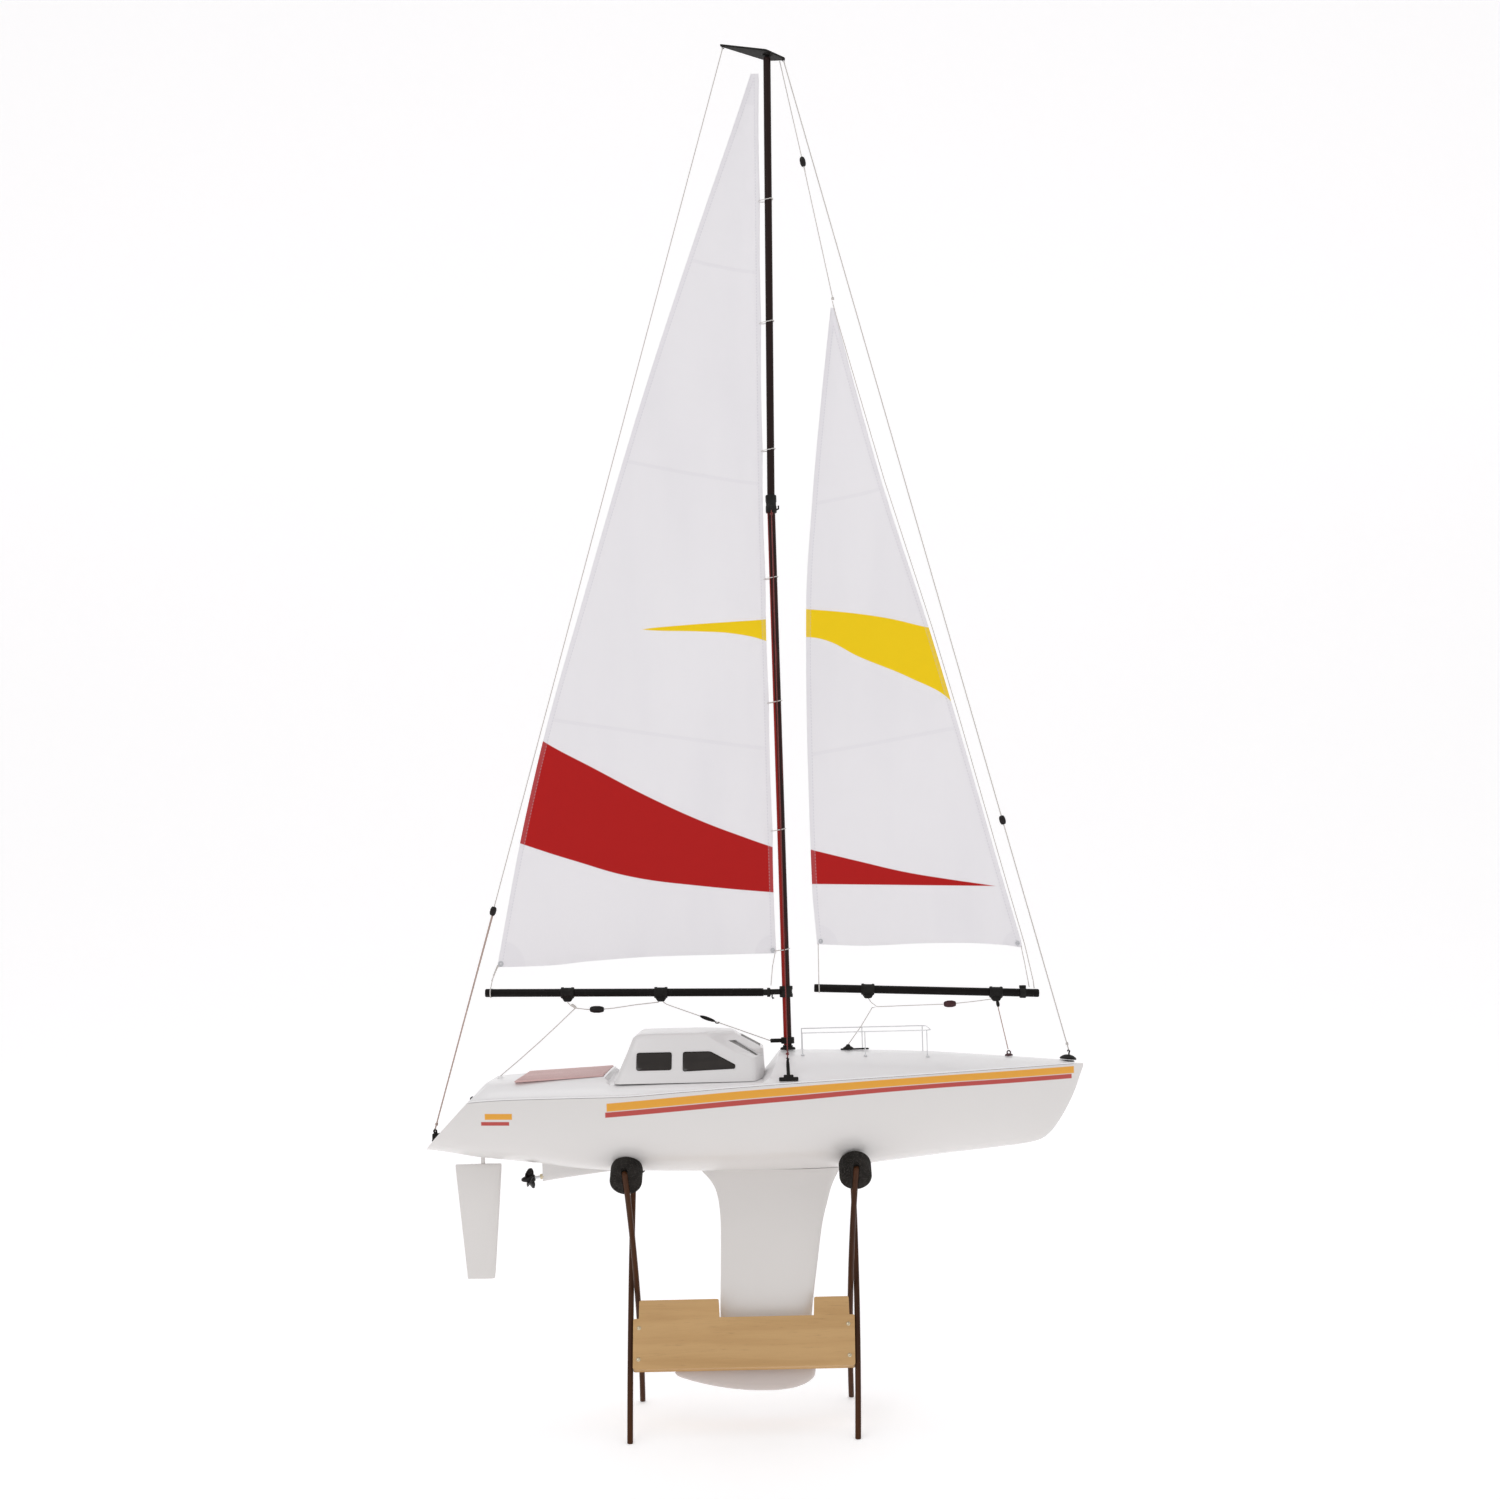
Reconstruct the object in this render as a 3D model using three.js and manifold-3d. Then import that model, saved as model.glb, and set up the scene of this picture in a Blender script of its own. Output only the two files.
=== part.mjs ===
// A radio-controlled sailing yacht with auxiliary motor, standing on its crossed-dowel display stand.
// Millimetres. +X is the bow, +Y is port, +Z is up. The origin is on the floor, under the middle of the hull.
import * as THREE from "three";
import { mergeVertices } from "three/addons/utils/BufferGeometryUtils.js";
import Module from "manifold-3d";

const wasm = await Module();
wasm.setup();

// ---------------------------------------------------------------- driving dimensions
const HULL_HALF_LENGTH = 323; // 646 mm overall
const HULL_WALL = 2.2;
const DECK_WALL = 1.8;
const GAP = 0.35; // clearance between touching pieces
const MAST_R = 4;
const BOOM_R = 4;
const TUBE_WALL = 0.8;
const DOWEL_R = 2.8;
const CORD_R = 0.75;
const SAIL_T = 0.9;
const STOCK_X = -272.6; // rudder stock axis
const SHAFT_TILT = (8.5 * Math.PI) / 180;
const PROP = [-225.3, 237.0]; // propeller centre, x and z
const MAST_FOOT = [31.8, 361.9];
const MAST_JOINT = [28.8, 904];
const MAST_HEAD = [36.3, 1370.4];
const JIB_AXIS_LOW = [250.2, 349];
const JIB_AXIS_TOP = [49, 1367];
const LEG_SLOPE = 0.634; // sideways run of a stand leg per unit of height
const LEG_CROSS_Z = 126.2;
// Each dowel bows slightly where it is sprung past its partner: x at the foot, at the crossing and at the pad.
const LEG_A_X = [[-125.8, -128.3, -128.6], [88.2, 93.3, 94.4]]; // legs from the starboard foot to the port pad
const LEG_B_X = [[-125, -122.4, -125.8], [87.4, 87.4, 93]]; // legs from the port foot to the starboard pad
const PAD_R = 15.5;

// ---------------------------------------------------------------- hull lines: [x, value]
const SHEER = [[-323, 311], [-264, 318.4], [-233, 320], [-185, 321], [-128, 321.8], [-76, 325], [-15, 328.7], [33, 331.2], [167, 335.4], [236, 336.8], [323, 337.4]];
const KEEL = [[-323, 268.5], [-302, 265.2], [-277, 260.6], [-253, 257.8], [-221, 254], [-180, 248.2], [-148, 245.3], [-114, 244], [-60, 242.6], [0, 242], [60, 242.4], [85, 243.4], [121, 247], [173, 252], [237, 257.8], [266, 261], [280, 264.6], [288.7, 271], [299.9, 285.4], [313.7, 310.4], [320.5, 328], [323, 334]];
const BEAM = [[-323, 50], [-274, 59], [-220, 70], [-160, 79.5], [-100, 85.5], [-40, 88], [20, 88], [80, 84], [140, 74], [200, 57.5], [250, 38.5], [290, 19], [312, 7.2], [323, 1.4]];
const FULLNESS = [[-323, 2.7], [-200, 2.6], [0, 2.5], [120, 2.25], [220, 1.8], [290, 1.45], [323, 1.25]];
const DECK_TOP = [[-278, 321.2], [-274, 323.5], [-262, 335.2], [-250, 336.2], [-143, 341], [-138, 333], [-60, 333], [10, 333], [14.5, 356.4], [44, 356.6], [110, 355], [172, 352.4], [241, 346.6], [300, 341.6], [314, 340.2]];
const DECK_FULL = [[-278, 10], [-143, 11], [-138, 18], [10, 18], [16, 2.6], [110, 2.3], [314, 2]];

// ---------------------------------------------------------------- maths helpers
const v3 = (x, y, z) => new THREE.Vector3(x, y, z);

// Monotone cubic through a table of [x, value].
function curve(table) {
  const n = table.length;
  const h = [], d = [];
  for (let i = 0; i < n - 1; i++) {
    h.push(table[i + 1][0] - table[i][0]);
    d.push((table[i + 1][1] - table[i][1]) / h[i]);
  }
  const m = [d[0]];
  for (let i = 1; i < n - 1; i++) {
    if (d[i - 1] * d[i] <= 0) m.push(0);
    else {
      const w1 = 2 * h[i] + h[i - 1], w2 = h[i] + 2 * h[i - 1];
      m.push((w1 + w2) / (w1 / d[i - 1] + w2 / d[i]));
    }
  }
  m.push(d[n - 2]);
  return (x) => {
    if (x <= table[0][0]) return table[0][1];
    if (x >= table[n - 1][0]) return table[n - 1][1];
    let i = 0;
    while (x > table[i + 1][0]) i++;
    const t = (x - table[i][0]) / h[i], t2 = t * t, t3 = t2 * t;
    return (2 * t3 - 3 * t2 + 1) * table[i][1] + (t3 - 2 * t2 + t) * h[i] * m[i] + (-2 * t3 + 3 * t2) * table[i + 1][1] + (t3 - t2) * h[i] * m[i + 1];
  };
}
function linear(table) {
  return (x) => {
    if (x <= table[0][0]) return table[0][1];
    for (let i = 1; i < table.length; i++)
      if (x <= table[i][0]) {
        const t = (x - table[i - 1][0]) / (table[i][0] - table[i - 1][0]);
        return table[i - 1][1] + t * (table[i][1] - table[i - 1][1]);
      }
    return table[table.length - 1][1];
  };
}
const sheer = curve(SHEER), keel = curve(KEEL), beam = curve(BEAM), full = curve(FULLNESS);
const deckTop = linear(DECK_TOP), deckFull = linear(DECK_FULL);

// ---------------------------------------------------------------- geometry helpers
const bare = (g) => new THREE.BufferGeometry().setAttribute("position", (g.index ? g.toNonIndexed() : g).getAttribute("position"));
function solid(g) {
  const m = mergeVertices(bare(g), 1e-4);
  return new wasm.Manifold(new wasm.Mesh({ numProp: 3, vertProperties: m.attributes.position.array, triVerts: new Uint32Array(m.index.array) }));
}
function geometry(s) {
  const m = s.getMesh(), n = m.numProp, p = new Float32Array(m.numVert * 3);
  for (let i = 0; i < m.numVert; i++) p.set(m.vertProperties.subarray(i * n, i * n + 3), i * 3);
  return new THREE.BufferGeometry().setAttribute("position", new THREE.BufferAttribute(p, 3)).setIndex(new THREE.BufferAttribute(m.triVerts, 1));
}
const join = (first, ...rest) => geometry(rest.reduce((a, g) => a.add(solid(g)), solid(first)));
const cut = (first, ...rest) => geometry(rest.reduce((a, g) => a.subtract(solid(g)), solid(first)));
const common = (a, b) => geometry(solid(a).intersect(solid(b)));

// Closed skin through rings of points, capped at both ends.
function loft(rings) {
  const n = rings[0].length, pos = [], idx = [];
  rings.flat().forEach((p) => pos.push(p.x, p.y, p.z));
  for (let k = 0; k < rings.length - 1; k++)
    for (let i = 0; i < n; i++) {
      const j = (i + 1) % n, a = k * n + i, b = k * n + j, c = a + n, d = b + n;
      idx.push(a, b, d, a, d, c);
    }
  const cap = (k, flip) => {
    const ring = rings[k], o = ring[0], nrm = v3(0, 0, 0);
    for (let i = 1; i < n - 1; i++) nrm.add(v3(0, 0, 0).crossVectors(ring[i].clone().sub(o), ring[i + 1].clone().sub(o)));
    nrm.normalize();
    const u = (Math.abs(nrm.x) < 0.9 ? v3(1, 0, 0) : v3(0, 1, 0)).cross(nrm).normalize(), w = nrm.clone().cross(u);
    const flat = ring.map((p) => new THREE.Vector2(p.dot(u), p.dot(w)));
    const area = THREE.ShapeUtils.area(flat);
    for (const [a, b, c] of THREE.ShapeUtils.triangulateShape(flat, [])) {
      const s = (flat[b].x - flat[a].x) * (flat[c].y - flat[a].y) - (flat[c].x - flat[a].x) * (flat[b].y - flat[a].y);
      const same = s > 0 === area > 0;
      if (same !== flip) idx.push(k * n + a, k * n + b, k * n + c);
      else idx.push(k * n + a, k * n + c, k * n + b);
    }
  };
  cap(0, true);
  cap(rings.length - 1, false);
  let vol = 0;
  const P = (i) => v3(pos[3 * i], pos[3 * i + 1], pos[3 * i + 2]);
  for (let i = 0; i < idx.length; i += 3) vol += P(idx[i]).dot(P(idx[i + 1]).cross(P(idx[i + 2])));
  if (vol < 0) for (let i = 0; i < idx.length; i += 3) [idx[i + 1], idx[i + 2]] = [idx[i + 2], idx[i + 1]];
  return new THREE.BufferGeometry().setAttribute("position", new THREE.Float32BufferAttribute(pos, 3)).setIndex(idx);
}
function box(x0, x1, y0, y1, z0, z1) {
  return new THREE.BoxGeometry(x1 - x0, y1 - y0, z1 - z0).translate((x0 + x1) / 2, (y0 + y1) / 2, (z0 + z1) / 2);
}
const UP = v3(0, 1, 0);
// Round bar from p to q.
function rod(p, q, r, seg = 12, r2 = r) {
  const d = q.clone().sub(p);
  return new THREE.CylinderGeometry(r2, r, d.length(), seg)
    .applyQuaternion(new THREE.Quaternion().setFromUnitVectors(UP, d.clone().normalize()))
    .translate((p.x + q.x) / 2, (p.y + q.y) / 2, (p.z + q.z) / 2);
}
// Round tube from p to q, open at both ends.
function pipe(p, q, rOut, rIn, seg = 16) {
  const d = q.clone().sub(p), L = d.length();
  const g = new THREE.LatheGeometry([[rIn, 0], [rOut, 0], [rOut, L], [rIn, L], [rIn, 0]].map((a) => new THREE.Vector2(...a)), seg);
  return g.applyQuaternion(new THREE.Quaternion().setFromUnitVectors(UP, d.normalize())).translate(p.x, p.y, p.z);
}
// Turned shape: profile of [radius, height] from the axis back to the axis, placed at p along dir.
function turned(profile, p, dir, seg = 16) {
  return new THREE.LatheGeometry(profile.map((a) => new THREE.Vector2(...a)), seg)
    .applyQuaternion(new THREE.Quaternion().setFromUnitVectors(UP, dir.clone().normalize()))
    .translate(p.x, p.y, p.z);
}
// Cord along points: an extruded round section.
function cord(points, r = CORD_R, sides = 8, steps = 40) {
  const shape = new THREE.Shape();
  for (let i = 0; i < sides; i++) {
    const a = (2 * Math.PI * i) / sides;
    if (i) shape.lineTo(r * Math.cos(a), r * Math.sin(a));
    else shape.moveTo(r, 0);
  }
  const path = new THREE.CurvePath();
  for (let i = 1; i < points.length; i++) path.add(new THREE.LineCurve3(points[i - 1], points[i]));
  const smooth = points.length > 2 ? new THREE.CatmullRomCurve3(points, false, "centripetal") : path.curves[0];
  return new THREE.ExtrudeGeometry(shape, { extrudePath: smooth, steps: points.length > 2 ? steps : 1, bevelEnabled: false });
}
const ball = (p, rx, ry, rz, seg = 12) => new THREE.SphereGeometry(1, seg, 8).scale(rx, ry, rz).translate(p.x, p.y, p.z);

// ---------------------------------------------------------------- hull
const STATIONS = [-323, -311, -297, -280, -258, -228, -190, -150, -110, -70, -30, 10, 50, 85, 120, 155, 190, 220, 246, 266, 280, 289, 297, 305, 312, 318, 323];
function section(x, grow, top = 0, count = 16) {
  const B = Math.max(0.5, beam(x) + grow), zs = sheer(x) + top, z0 = sheer(x), zk = keel(x) - grow, e = 2 / full(x), ring = [];
  for (let i = 0; i <= count; i++) {
    const a = (Math.PI * i) / count, c = Math.cos(a), s = Math.sin(a);
    ring.push(v3(x, -B * Math.sign(c) * Math.pow(Math.abs(c) < 1e-9 ? 0 : Math.abs(c), e), z0 - (z0 - zk) * Math.pow(Math.abs(s) < 1e-9 ? 0 : Math.abs(s), e)));
  }
  if (top > 0) {
    ring.unshift(v3(x, -B, zs));
    ring.push(v3(x, B, zs));
  }
  return ring;
}
// Everything aft of and above the sloping transom plane, shifted forward by off.
function behindTransom(off) {
  const pts = [[-233.7 + off, 364], [-343 + off, 251.2], [-440, 251.2], [-440, 400], [-233.7 + off, 400]];
  return loft([-140, 140].map((y) => pts.map(([x, z]) => v3(x, y, z))));
}
const shaftAt = (x) => v3(x, 0, PROP[1] + (x - PROP[0]) * Math.tan(SHAFT_TILT));
const shaftDir = v3(Math.cos(SHAFT_TILT), 0, Math.sin(SHAFT_TILT));

const hullOuter = cut(loft(STATIONS.map((x) => section(x, 0))), behindTransom(0));
const hullInner = cut(loft(STATIONS.filter((x) => x <= 300).map((x) => section(x, -HULL_WALL, 8))), behindTransom(3.2));
const skeg = loft([-2.6, 2.6].map((y) => [[-214, 233.9], [-214, 256], [-143, 249.5], [-143, 242.8]].map(([x, z]) => v3(x, y, z))));
// The rudder trunk is moulded with the shell.
const rudderTrunk = rod(v3(STOCK_X, 0, 262.5), v3(STOCK_X, 0, 290), 3.9, 14);
const hullShell = cut(
  join(cut(join(hullOuter, skeg), hullInner), rudderTrunk, rod(shaftAt(-213.5), shaftAt(-146), 4.3, 14)),
  rod(shaftAt(-240), shaftAt(-90), 2.95, 14),
  rod(v3(STOCK_X, 0, 240), v3(STOCK_X, 0, 300), 2.35, 14),
);

// ---------------------------------------------------------------- deck
const DECK_X = [-278, -274, -268, -262, -252, -225, -185, -160, -143, -138, -110, -60, -20, 10, 14.5, 30, 60, 90, 120, 150, 180, 210, 240, 265, 285, 300, 310, 314];
const ACROSS = [-1, -0.94, -0.84, -0.7, -0.45, 0, 0.45, 0.7, 0.84, 0.94, 1];
function deckRing(x) {
  const B = beam(x), zs = sheer(x), zt = deckTop(x), n = deckFull(x), ring = [];
  const zf = (f) => zs + 2 + (zt - zs - 2) * (1 - Math.pow(Math.abs(f), n));
  ring.push(v3(x, -B, zs + GAP), v3(x, -B, zs + 1.9));
  for (const f of ACROSS) ring.push(v3(x, f * (B - 2.5), zf(f)));
  ring.push(v3(x, B, zs + 1.9), v3(x, B, zs + GAP));
  const bi = Math.max(B - 5.2, B * 0.35);
  for (const f of [...ACROSS].reverse()) ring.push(v3(x, f * bi, Math.max(zs + GAP, zf(f) - DECK_WALL - (Math.abs(f) === 1 ? 0.4 : 0))));
  return ring;
}
const deckShell = loft(DECK_X.map(deckRing));
const PANEL = { x0: -233, x1: -146, y: 60 };
// Block that follows the slope of the after deck, from lo to hi above it, its sides set in by g.
function panelBlock(g, lo, hi) {
  const x0 = PANEL.x0 + g, x1 = PANEL.x1 - g, y = PANEL.y - g;
  const pts = [[x0, deckTop(x0) + lo], [x1, deckTop(x1) + lo], [x1, deckTop(x1) + hi], [x0, deckTop(x0) + hi]];
  return loft([-y, y].map((yy) => pts.map(([x, z]) => v3(x, yy, z))));
}
const coaming = cut(box(-117, -5, -46, 46, 331.6, 338), box(-115, -7, -44, 44, 320, 350));
const deck = cut(
  cut(join(cut(deckShell, box(-115, -7, -44, 44, 320, 350)), coaming), behindTransom(0)),
  panelBlock(0, -1.3, 12),
);
const cockpitPanel = panelBlock(0.4, -0.95, 0.6);

// ---------------------------------------------------------------- cabin cover: layers [z, aft x, forward centre x, half width, forward corner set-back]
const CABIN = [[333.4, -135.5, 9.2, 74, 10], [345, -131, 8.6, 67.5, 8], [354.6, -126.8, 8.3, 61, 9.2], [361, -124, 8, 56.5, 28], [375, -118.5, -17, 48.5, 28], [378.8, -114, -22, 45, 26]];
function cabinRing([z, xa, xf, w, back], inset) {
  const a = xa + inset, f = xf - inset, y = w - inset, r = 5;
  const half = [[f, 0], [f - 0.8, y * 0.4], [f - back, y - r], [f - back - r * 0.35, y - r * 0.3], [f - back - r, y], [a + r, y], [a + r * 0.3, y - r * 0.3], [a, y - r]];
  return [...half.map(([x, yy]) => v3(x, yy, z)), v3(a, 0, z), ...half.slice(1).reverse().map(([x, yy]) => v3(x, -yy, z))];
}
const cabinOuter = loft(CABIN.map((l) => cabinRing(l, 0)));
const cabinLayer = (inset, drop, low) => loft([[low, ...CABIN[0].slice(1)], ...CABIN.slice(1, 5).map((l) => [l[0] - drop * 0.5, ...l.slice(1)]), [CABIN[5][0] - drop, ...CABIN[5].slice(1)]].map((l) => cabinRing(l, inset)));
const extrudeY = (pts, y0, y1) => loft([y0, y1].map((y) => pts.map(([x, z]) => v3(x, y, z))));
const WINDOW_AFT = [[-113, 344.6], [-81.4, 344.6], [-79.6, 346.4], [-79.6, 360.2], [-81.4, 362], [-113, 362], [-114.8, 360.2], [-114.8, 346.4]];
const WINDOW_FWD = [[-68.6, 343], [-24, 344], [-18.4, 346.6], [-19.6, 350.4], [-43, 362], [-68.6, 362], [-70.2, 360.2], [-70.2, 344.8]];
// Point on the sloping front: t 0 to 1 runs from the corner of the middle face to the side wall.
function frontAt(z, t, s, y0) {
  const i = z < 354.6 ? 1 : z < 361 ? 2 : 3, k = (z - CABIN[i][0]) / (CABIN[i + 1][0] - CABIN[i][0]);
  const [, , f, y, back] = CABIN[i].map((v, j) => v + (CABIN[i + 1][j] - v) * k);
  return y0 === undefined ? v3(f - 0.8 - (back - 0.8) * t, s * (y * 0.4 + (y * 0.6 - 5) * t), z) : v3(f - 0.4, y0, z);
}
// Opening for a pane, cut square to the face through its four corners.
function paneCut(q, depth = 5) {
  const n = v3(0, 0, 0).crossVectors(q[1].clone().sub(q[0]), q[3].clone().sub(q[0])).normalize();
  return loft([-depth, depth].map((d) => q.map((p) => p.clone().addScaledVector(n, d))));
}
const sidePane = (s) => [frontAt(355.4, 0.36, s), frontAt(355.4, 0.64, s), frontAt(370.4, 0.64, s), frontAt(370.4, 0.36, s)];
const middlePane = [frontAt(362.4, 0, 1, -16), frontAt(362.4, 0, 1, 16), frontAt(373.2, 0, 1, 15), frontAt(373.2, 0, 1, -15)];
const cabinCover = cut(
  cabinOuter,
  cabinLayer(2, 2, 325),
  extrudeY(WINDOW_AFT, 30, 90), extrudeY(WINDOW_AFT, -90, -30),
  extrudeY(WINDOW_FWD, 30, 90), extrudeY(WINDOW_FWD, -90, -30),
  paneCut(sidePane(1)), paneCut(sidePane(-1)), paneCut(middlePane),
);
const windowLiner = common(cut(cabinLayer(2.45, 2.9, 325), cabinLayer(3.6, 4.4, 320)), box(-150, 20, -90, 90, 341, 376));

// ---------------------------------------------------------------- keel, bulb, rudder
// Foil section: chord from the leading edge xl aft to xt at height z, half thickness t.
function foil(xl, xt, t, z, n = 7) {
  const up = [], lo = [];
  for (let i = 0; i <= n; i++) {
    const s = 0.5 * (1 - Math.cos((Math.PI * i) / n));
    const y = t * 5 * 0.2 * (2.969 * Math.sqrt(s) - 1.26 * s - 3.516 * s * s + 2.843 * s * s * s - 1.036 * s * s * s * s) / 1.0;
    const x = xl + (xt - xl) * s;
    if (i === 0) up.push(v3(x, 0, z));
    else if (i === n) up.push(v3(x, -0.35, z), v3(x, 0.35, z));
    else { up.push(v3(x, -Math.max(y, 0.35), z)); lo.unshift(v3(x, Math.max(y, 0.35), z)); }
  }
  return [...up, ...lo];
}
const FIN = [[40, 44.5, -41, 4.3], [98, 48.6, -41, 4.7], [150, 55.6, -39.6, 5.1], [190, 62, -38.8, 5.4], [208, 66.8, -40, 5.7], [222, 71, -43, 6.1], [232, 75.5, -48.5, 6.8], [238, 79, -54, 7.8], [246, 84, -60, 9]];
const BULB = [[0, 0], [4.5, 0.9], [9, 4.5], [13.5, 12.7], [16.8, 25.4], [18.2, 42], [18, 58], [16.6, 76.3], [14, 94.4], [10.6, 110.8], [6.6, 125.3], [3, 135.3], [0, 138]];
const bulbShape = (grow) => turned(BULB.map(([r, h]) => [r ? r + grow : 0, h + (h === 0 ? -grow : h === 138 ? grow : 0)]), v3(51, 0, 45.8), v3(-1, 0, 0), 20);
const ballastBulb = bulbShape(0);
const hullGrown = loft(STATIONS.map((x) => section(x, GAP)));
const keelFin = cut(loft(FIN.map(([z, xl, xt, t]) => foil(xl, xt, t, z))), hullGrown, bulbShape(GAP));

const RUDDER = [[140.6, -263.2, -288.6, 1.6], [147, -261.6, -289.6, 2.3], [200, -257.6, -295, 3.0], [246, -254.4, -299.6, 3.6], [252.2, -254.2, -300, 3.2]];
const rudderBlade = join(
  loft(RUDDER.map(([z, xl, xt, t]) => foil(xl, xt, t, z))),
  rod(v3(STOCK_X, 0, 200), v3(STOCK_X, 0, 305.5), 2.0, 12),
);
const TILLER_Z = 296.4;
const tillerArm = cut(
  join(rod(v3(STOCK_X, 0, TILLER_Z), v3(STOCK_X, 0, TILLER_Z + 5), 4.6, 14), box(STOCK_X - 2.4, STOCK_X + 2.4, 0, 16.5, TILLER_Z, TILLER_Z + 2)),
  rod(v3(STOCK_X, 0, TILLER_Z - 3), v3(STOCK_X, 0, TILLER_Z + 8), 2.35, 12),
);

// ---------------------------------------------------------------- drive
const sternTube = pipe(shaftAt(-216), shaftAt(-104), 2.6, 1.75, 14);
const propShaft = rod(shaftAt(-221.5), shaftAt(-98), 1.4, 10);
function propeller() {
  const hub = turned([[0, -6], [1.6, -5.6], [2.6, -3], [2.9, 0], [2.9, 4.5], [2.2, 5.5], [0, 5.5]], shaftAt(-226.5), shaftDir, 12);
  let s = solid(hub);
  for (let k = 0; k < 4; k++) {
    const blade = loft([[1.5, 1.6, 20], [5, 3.6, 32], [8.4, 3.4, 50], [10.6, 1.5, 60]].map(([r, w, deg]) => {
      const t = (deg * Math.PI) / 180, ring = [];
      for (const [a, b] of [[-w, -0.45], [w, -0.45], [w, 0.45], [-w, 0.45]]) ring.push(v3(a * Math.cos(t) - b * Math.sin(t), a * Math.sin(t) + b * Math.cos(t), r));
      return ring;
    })).rotateX((2 * Math.PI * k) / 4 + 0.35);
    blade.rotateY(-SHAFT_TILT);
    const c = shaftAt(-226);
    blade.translate(c.x, c.y, c.z);
    s = s.add(solid(blade));
  }
  return cut(geometry(s), rod(shaftAt(-222.4), shaftAt(-215), 1.75, 10));
}
const motor = join(rod(shaftAt(-95), shaftAt(-62), 9.3, 18), rod(shaftAt(-97.2), shaftAt(-94), 3.4, 12));

// ---------------------------------------------------------------- radio gear
const hullInside = cut(loft(STATIONS.filter((x) => x <= 300).map((x) => section(x, -HULL_WALL - GAP))), behindTransom(6));
const SERVO = { rudder: -150, sail: -38 };
const servoTray = cut(
  common(hullInside, box(-186, -8, -90, 90, 275, 277.4)),
  box(SERVO.rudder - 20.5, SERVO.rudder + 20.5, -10.5, 10.5, 260, 290),
  box(SERVO.sail - 20.5, SERVO.sail + 20.5, -10.5, 10.5, 260, 290),
);
const servo = (x) => join(box(x - 20, x + 20, -10, 10, 257.5, 292), box(x - 27, x + 27, -9.5, 9.5, 277.8, 280.2), rod(v3(x + 10, 0, 291), v3(x + 10, 0, 296), 2.6, 12));
const HORN_Z = 296.4;
const horn = (x, len) => join(rod(v3(x + 10, 0, HORN_Z), v3(x + 10, 0, HORN_Z + 2.4), 5, 14), box(x + 7.8, x + 12.2, 0, len, HORN_Z, HORN_Z + 2));
const ROD_Z = HORN_Z + 3.5;
const pushrod = rod(v3(STOCK_X - 2, 14.5, ROD_Z), v3(SERVO.rudder + 12, 14.5, ROD_Z), 0.9, 8);
const receiver = box(-118, -84, 24, 46, 277.8, 290);
const battery = box(-122, -68, -52, -22, 277.8, 294);

// ---------------------------------------------------------------- deck fittings
const bowPlate = join(
  turned([[0, 0], [8.2, 0], [8.2, 1.4], [5.4, 3.6], [0, 4.6]], v3(308.4, 0, 341.6), v3(0.1, 0, 1), 16),
  rod(v3(309.4, 0, 342.6), v3(309.8, 0, 349.4), 1.2, 8),
);
const sternPlate = join(
  loft([-4.5, 4.5].map((y) => [[-321.0, 274.6], [-314.2, 281.8], [-316.2, 283.8], [-323, 276.6]].map(([x, z]) => v3(x, y, z)))),
  rod(v3(-318.6, 0, 278.4), v3(-320, 0, 284.4), 1.5, 8),
);
const chainplate = (s) => join(box(22.5, 41, s > 0 ? 85.6 : -88.6, s > 0 ? 88.6 : -85.6, 333.8, 338.2), rod(v3(31.4, s * 86.9, 336), v3(31.2, s * 84, 354), 1.6, 8));
const jibEye = join(rod(v3(250.2, 0, 346.4), v3(250.2, 0, 348.4), 4, 12), ball(v3(250.2, 0, 349.3), 2.6, 2.6, 2.2));
const fairlead = join(box(84, 112, -3, 3, 355.7, 357.4), turned([[0, 0], [5.4, 0], [5.4, 2], [3.2, 4.8], [0, 5.4]], v3(91.5, 0, 355.8), v3(0, 0, 1), 14));
function guardRail() {
  const zr = 375.5, y = 36, xa = 46, xf = 171.5, r = 0.7;
  const path = [[xa, -y], [xa + 2, -y], [xf - 8, -y], [xf, -y + 8], [xf, y - 8], [xf - 8, y], [xa + 2, y], [xa, y]];
  let s = null;
  for (let i = 1; i < path.length; i++) {
    const g = solid(rod(v3(...path[i - 1], zr), v3(...path[i], zr), r, 6));
    s = s ? s.add(g) : g;
  }
  const foot = (x, yy) => { const B = beam(x) - 2.5, zs = sheer(x); return zs + 2 + (deckTop(x) - zs - 2) * (1 - Math.pow(Math.abs(yy) / B, deckFull(x))) + 1.2; };
  for (const [x, yy] of [[xa, -y], [xa, y], [107, -y], [107, y], [xf - 4, -y + 4], [xf - 4, y - 4]]) s = s.add(solid(rod(v3(x, yy, foot(x, yy)), v3(x, yy, zr + 0.2), r, 6)));
  for (const p of path) s = s.add(solid(ball(v3(...p, zr), r, r, r, 6)));
  return geometry(s);
}

// ---------------------------------------------------------------- spars and standing rigging
const mast = (p, q, z0, z1, r) => {
  const at = (z) => v3(p[0] + ((q[0] - p[0]) * (z - p[1])) / (q[1] - p[1]), 0, z);
  return pipe(at(z0), at(z1), r, r - TUBE_WALL, 16);
};
const mastLower = mast(MAST_FOOT, MAST_JOINT, MAST_FOOT[1], 904.2, MAST_R);
const mastUpper = mast(MAST_JOINT, MAST_HEAD, 905, MAST_HEAD[1], MAST_R - 0.2);
const mastFerrule = pipe(v3(28.85, 0, 896), v3(29.0, 0, 914), 5.7, 4.5, 16);
const stepPos = v3(31.8, 0, 357.4);
const mastStep = join(turned([[0, 0], [7.5, 0], [7.5, 2], [6, 3.6], [0, 3.6]], stepPos, v3(0, 0, 1), 16), rod(v3(31.8, 0, 360), v3(31.78, 0, 366), 2.8, 12));
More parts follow.
